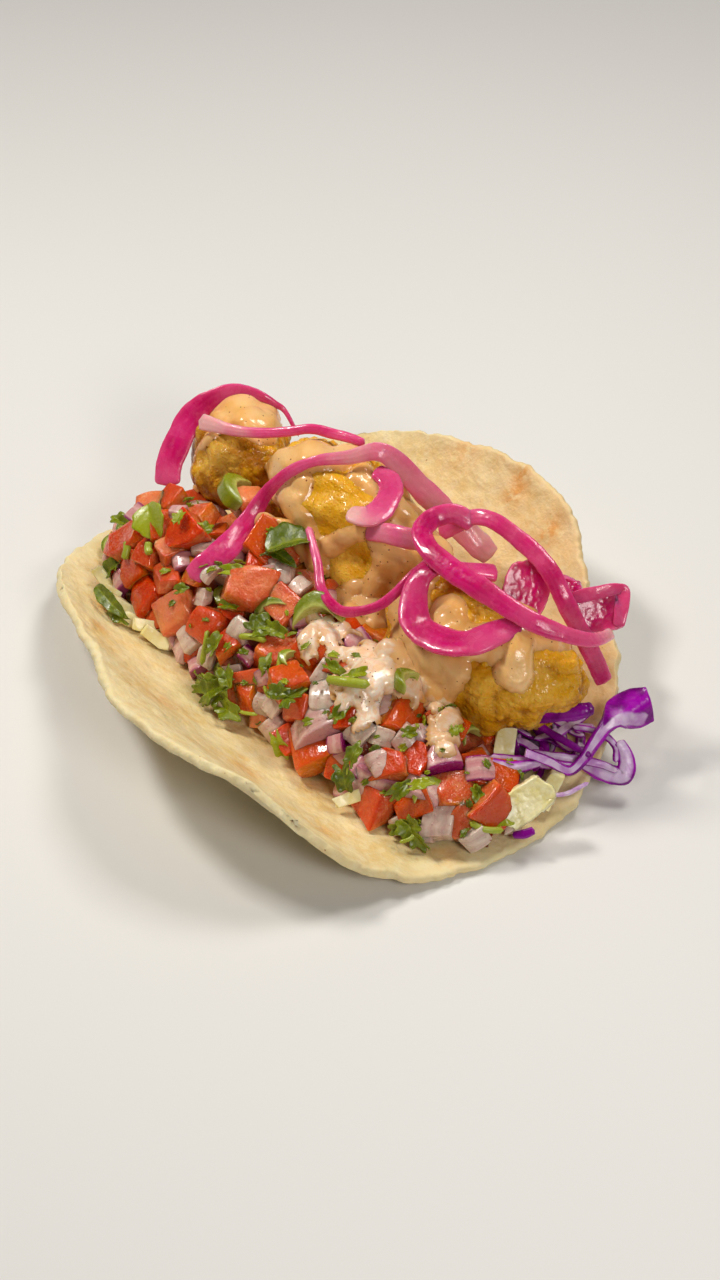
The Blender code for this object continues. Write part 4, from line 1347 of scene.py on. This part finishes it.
# Strokes over the food: points in mm with a radius in mm, the sauce's thickness in mm, and how milky it is
SAUCE = (
    (((-63, 12, 40, 5), (-58, 14, 41, 7), (-54, 19, 40, 6.5), (-50, 15, 41, 6),
      (-47, 14, 38, 3)), 1.8, 0.0),
    (((-22, 24, 44, 4), (-25, 16, 46, 5.5), (-30, 10, 43, 5), (-36, 9, 37, 4)), 1.6, 0.0),
    (((-26, 12, 44, 4), (-27, 6, 39, 4.5), (-27, 2, 34, 4), (-24, 0, 31, 3)), 1.1, 0.3),
    (((-22, 9, 41, 4), (-22, 5, 37, 4.5), (-17, 5, 35, 4), (-13, 5, 31, 3.5), (-9, 5, 27, 3)), 1.0, 0.0),
    (((-14, 22, 46, 4), (-6, 24, 45, 5), (4, 25, 41, 5), (2, 20, 40, 4), (-4, 12, 37, 2.5),
      (-8, 8, 32, 3)), 1.1, 0.0),
    (((3, 16, 37, 4), (7, 16, 33, 5), (6, 14, 26, 5), (8, 8, 22, 5), (3, 7, 25, 4)), 1.1, 0.0),
    (((10, 28, 36, 5), (12, 24, 35, 5), (18, 16, 35, 6), (22, 9, 33, 6), (28, 5, 30, 6), (34, 5, 28, 6),
      (40, 7, 30, 6)), 1.2, 0.0),
    (((44, 8, 31, 4), (40, 6, 25, 5), (35, 4, 21, 5), (32, -1, 24, 4)), 1.1, 0.0),
    (((32, 13, 38, 5), (40, 10, 37, 5), (47, 15, 38, 5), (50, 25, 39, 5), (52, 33, 35, 4)), 1.3, 0.0),
    (((49, 22, 39, 4), (52, 19, 37, 3.6), (53.5, 17.5, 35, 3.8), (54.5, 16.2, 33.5, 4.6)), 3.0, 0.0),
    (((6, -5, 26, 3.5), (13, -5, 26, 5), (20, -6, 27, 6), (26, -8, 28, 7), (31, -12, 27, 6),
      (32, -16, 23, 4)), 0.9, 1.0),
    (((8, -7, 26, 2.5), (12, -12, 27, 2.5), (16, -14, 26, 2)), 0.8, 1.0),
    (((24, -3, 28, 6), (30, -3, 29, 6), (36, -3, 25, 5), (37, 4, 22, 5), (43, 4, 19, 4), (50, 0, 21, 4),
      (54, -3, 21, 3.4)), 1.2, 0.7),
    (((33, -9, 27, 5), (36, -13, 23, 4), (38, -15, 20, 2.5)), 1.3, 1.0),
    (((-36, -2, 30, 3), (-31, -4, 30, 3), (-28, -8, 30, 2.5)), 0.9, 0.8),
    (((-56, 4.5, 38, 2.6), (-56.7, 3, 30, 2.6), (-55.1, -0.4, 20, 2)), 0.8, 0.0),
    (((-47, 12, 38, 3), (-46.8, 9.4, 34, 3), (-43.9, 6.5, 28, 2.4)), 0.9, 0.3),
    (((-48, -6, 29, 2.2), (-43, -4, 29, 2.6), (-38, -1, 30, 2.2)), 0.6, 0.8),
    (((-20, 34, 41, 4), (-10, 34, 40, 5), (0, 33, 37, 4), (8, 33, 33, 3)), 1.0, 0.0),
    (((20, 28, 36, 4), (30, 30, 38, 5), (40, 33, 36, 4)), 1.0, 0.0),
)
SAUCE_VOXEL = 0.7 * MM


def sauce_depth(points):
    """How thick the sauce lies at each point, below 0 outside it, and how milky it is there."""
    ragged = 0.20 * fractal(points, 6 * MM, 3, 80)
    broken = 1.7 * np.clip(fractal(points, 4.5 * MM, 2, 81), 0, 1)
    depth = np.full(len(points), -1.0)
    milk = np.zeros(len(points))
    for stroke, thickness, milky in SAUCE:
        dots = smooth_path([mm(dot) for dot in stroke], 4)
        away = np.linalg.norm(points[:, None] - dots[None, :, :3], axis=2) / dots[None, :, 3]
        inside = 1 - away.min(axis=1) + ragged - milky * broken
        bead = thickness * MM * np.sqrt(np.clip(inside * 2.2, 0, 1))
        milk = np.where((inside > 0) & (bead > depth), milky, milk)
        depth = np.maximum(depth, np.where(inside > 0, bead, inside * 5 * MM))
    return depth, milk


def sauce_shape(fish, salsa):
    """A skin over the food, raised where the sauce lies and sunk out of sight elsewhere."""
    points, faces, normals = remeshed(join((fish, salsa)), SAUCE_VOXEL, 5)
    low, high = mm((-72, -30, 12)), mm((66, 45, 60))
    near = ((points > low) & (points < high)).all(axis=1)
    points, faces, values = keep_points((points, faces, {"normal": normals}), near)
    normals = values["normal"]
    depth, milk = sauce_depth(points)
    points = points + normals * np.clip(depth + 0.25 * MM, -1.6 * MM, None)[:, None]
    thin = np.clip(1 - depth / (1.0 * MM), 0, 1)
    return keep_points((points, faces, {"thin": thin, "milk": milk}), depth > -1.3 * MM)


# ---------------------------------------------------------------- stage

AIM = (0.011, 0.0035, 0.018)
VIEW = (55, 42)  # azimuth and elevation of the camera
CAMERA_DISTANCE = 0.6
FLOOR_HALF = 2.5
FLOOR_DROP = 0.0002  # keeps the floor just under the food
# Name, azimuth, elevation, distance, size, power, colour
LIGHTS = (
    ("key", -60, 55, 0.55, 0.10, 1.8, (1, 0.96, 0.90)),
    ("fill", 80, 38, 0.60, 0.16, 1.1, (1, 0.97, 0.93)),
    ("rim", 190, 62, 0.60, 0.18, 1.5, (1, 0.97, 0.92)),
)


def look(camera, aim, back, distance):
    """Puts the camera at a distance from the aim and turns it there."""
    camera.location = aim + back * distance
    camera.rotation_mode = "QUATERNION"
    camera.rotation_quaternion = back.to_track_quat("Z", "Y")


def direction(azimuth, elevation):
    """From the middle towards a viewer. Azimuth 0 looks along +Y, and 90 along -X."""
    a, e = math.radians(azimuth), math.radians(elevation)
    return Vector((math.sin(a) * math.cos(e), -math.cos(a) * math.cos(e), math.sin(e)))


def make_stage():
    """Camera, floor and lights."""
    camera = new_object("camera", bpy.data.cameras.new("camera"))
    camera.data.sensor_width = 36
    camera.data.lens = 69.9
    camera.data.clip_start = 0.01
    look(camera, Vector(AIM), direction(*VIEW), CAMERA_DISTANCE)
    bpy.context.scene.camera = camera

    corners = np.array(((-1, -1, 0), (1, -1, 0), (1, 1, 0), (-1, 1, 0))) * FLOOR_HALF
    floor = new_mesh("floor", corners, [(0, 1, 2, 3)])
    floor.materials.append(floor_finish())
    stage = new_object("floor", floor)
    stage.location.z = -FLOOR_DROP

    for name, azimuth, elevation, distance, size, power, colour in LIGHTS:
        lamp = bpy.data.lights.new(name, "AREA")
        lamp.size = size
        lamp.energy = power
        lamp.color = colour
        light = new_object(name, lamp)
        look(light, Vector((0, 0, 0.02)), direction(azimuth, elevation), distance)

    world = bpy.data.worlds.new("studio")
    bpy.context.scene.world = world
    world.use_nodes = True
    sky = world.node_tree.nodes["Background"]
    sky.inputs["Color"].default_value = (1, 0.98, 0.96, 1)
    sky.inputs["Strength"].default_value = 0.08
    bpy.context.scene.view_settings.view_transform = "Standard"


# ---------------------------------------------------------------- the taco


def add_salsa(solids):
    """The diced salsa over its core, with its chilli. Gives the diced pieces."""
    pieces = salsa_pieces(solids["salsa_heap"], Ground(solids["tortilla"]))
    # The core is dark as painted shade where the salsa's gaps show it.
    core = heap_core("salsa_heap", 3 * MM, 1.2 * MM)
    add_piece("salsa_shade_core", core, core_finish(), "tomato_salsa", "salsa_heap")
    add_piece("tomato_dice", pieces["tomato"], tomato_finish(), "tomato_salsa")
    add_piece("raw_onion_bits", pieces["onion"], raw_onion_finish(), "tomato_salsa")
    chilli = green_finish("green_chilli", (0.10, 0.15, 0.002), (0.26, 0.30, 0.006), (0.52, 0.53, 0.13), 0.5)
    add_piece("chilli_bits", pieces["chilli"], chilli, "herb")
    return pieces


def add_herbs(ground, tortilla):
    """Leaves and stems."""
    leaves, stems = herb_shapes(ground, tortilla)
    green = green_finish("herb", (0.06, 0.095, 0.001), (0.36, 0.40, 0.006), (0.42, 0.48, 0.05), 0.07)
    add_piece("herb_leaves", leaves, green, "herb")
    add_piece("herb_stems", stems, green, "herb")


def add_cabbage(solids, laid):
    """The bed and the loose shreds, which are added to what is laid."""
    red, white = cabbage_finish(), white_cabbage_finish()
    add_piece("cabbage_core", heap_core("cabbage_bed", 0.9 * MM, 1.5 * MM), red, "cabbage", "cabbage_bed")
    for seed, name in enumerate(SHREDS):
        ground = Ground(*laid)
        if name == "white_cabbage":
            add_piece("white_cabbage_bit", white_cabbage_shape(ground), white, "white_cabbage", name)
        elif name == "red_cabbage_leaf":
            add_piece("red_cabbage_leaf_shred", cabbage_leaf(ground), red, "red_cabbage", name)
        else:
            add_piece(name + "_shred", shred_shape(name, ground, 30 + seed), red, "red_cabbage", name)
        laid.append(solids[name])
    loose = []
    for seed, (points, width, dark) in enumerate(LOOSE_SHREDS):
        path = smooth_path(mm(points), 8)
        widths = (0.8 * width, width, 0.8 * width)
        shape = strip_shape(path, OUT, widths, 1.0, 60 + seed, squareness=3, cup=0.2)
        loose.append(skin_values(shape, dark, 60 + seed))
    bed = Ground(solids["cabbage_bed"], solids["tortilla"])
    loose.append(cabbage_tangle(bed, (-60, 50, 18, 36), 95, 7))
    loose.append(cabbage_tangle(bed, (46, 58, 12, 34), 8, 8))
    add_piece("cabbage_shreds", join(loose), red, "red_cabbage")
    bits = []
    tortilla = Ground(solids["tortilla"])
    crate = Crate(41)
    for middle, half, spin in PALE_BITS:
        bits.append(raised(pale_bit(crate, mm(middle), half, spin), tortilla))
    add_piece("white_cabbage_bits", join(bits), white, "white_cabbage")


def add_pickled_onions(solids, laid):
    """The strips, each laid on all that came before it, and the cupped bits."""
    pickled = onion_finish()
    petals = {node: place for node, *place in PETALS}
    for seed, name in enumerate(ONIONS):
        if name in petals:
            shape = petal_shape(*petals[name], 3 * seed)
            if name == "onion_end_petal":
                shape = join((shape, end_fold_shape()))
        else:
            shape = onion_shape(name, Ground(*laid), 3 * seed)
        add_piece(name + "_strip", shape, pickled, "pickled_onion", name)
        laid.append(solids[name])
    add_piece("onion_bit", petal_shape(*petals[None], 50), pickled, "pickled_onion")


def main():
    make_stage()
    add_piece("tortilla_sheet", tortilla_shape(), tortilla_finish(), "corn_tortilla", "tortilla")
    batter = batter_finish()
    fish = {name: fish_shape(name) for name in FISH}
    for name, shape in fish.items():
        add_piece(name + "_crust", shape, batter, "fried_batter", name)
    solids = {name: node_shape(name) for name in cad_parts}
    pieces = add_salsa(solids)
    laid = [solids["tortilla"], solids["cabbage_bed"]]
    add_cabbage(solids, laid)
    laid += [solids[name] for name in FISH] + [solids["salsa_heap"]]
    add_pickled_onions(solids, laid)
    plain_fish, plain_salsa = (
        join([(points, faces, {}) for points, faces, _ in shapes])
        for shapes in (fish.values(), (pieces["tomato"], pieces["onion"], solids["salsa_heap"]))
    )
    sauce = sauce_shape(plain_fish, plain_salsa)
    add_piece("cream_sauce", sauce, sauce_finish(), "sauce")
    add_herbs(Ground(plain_salsa, sauce), Ground(solids["tortilla"]))


main()
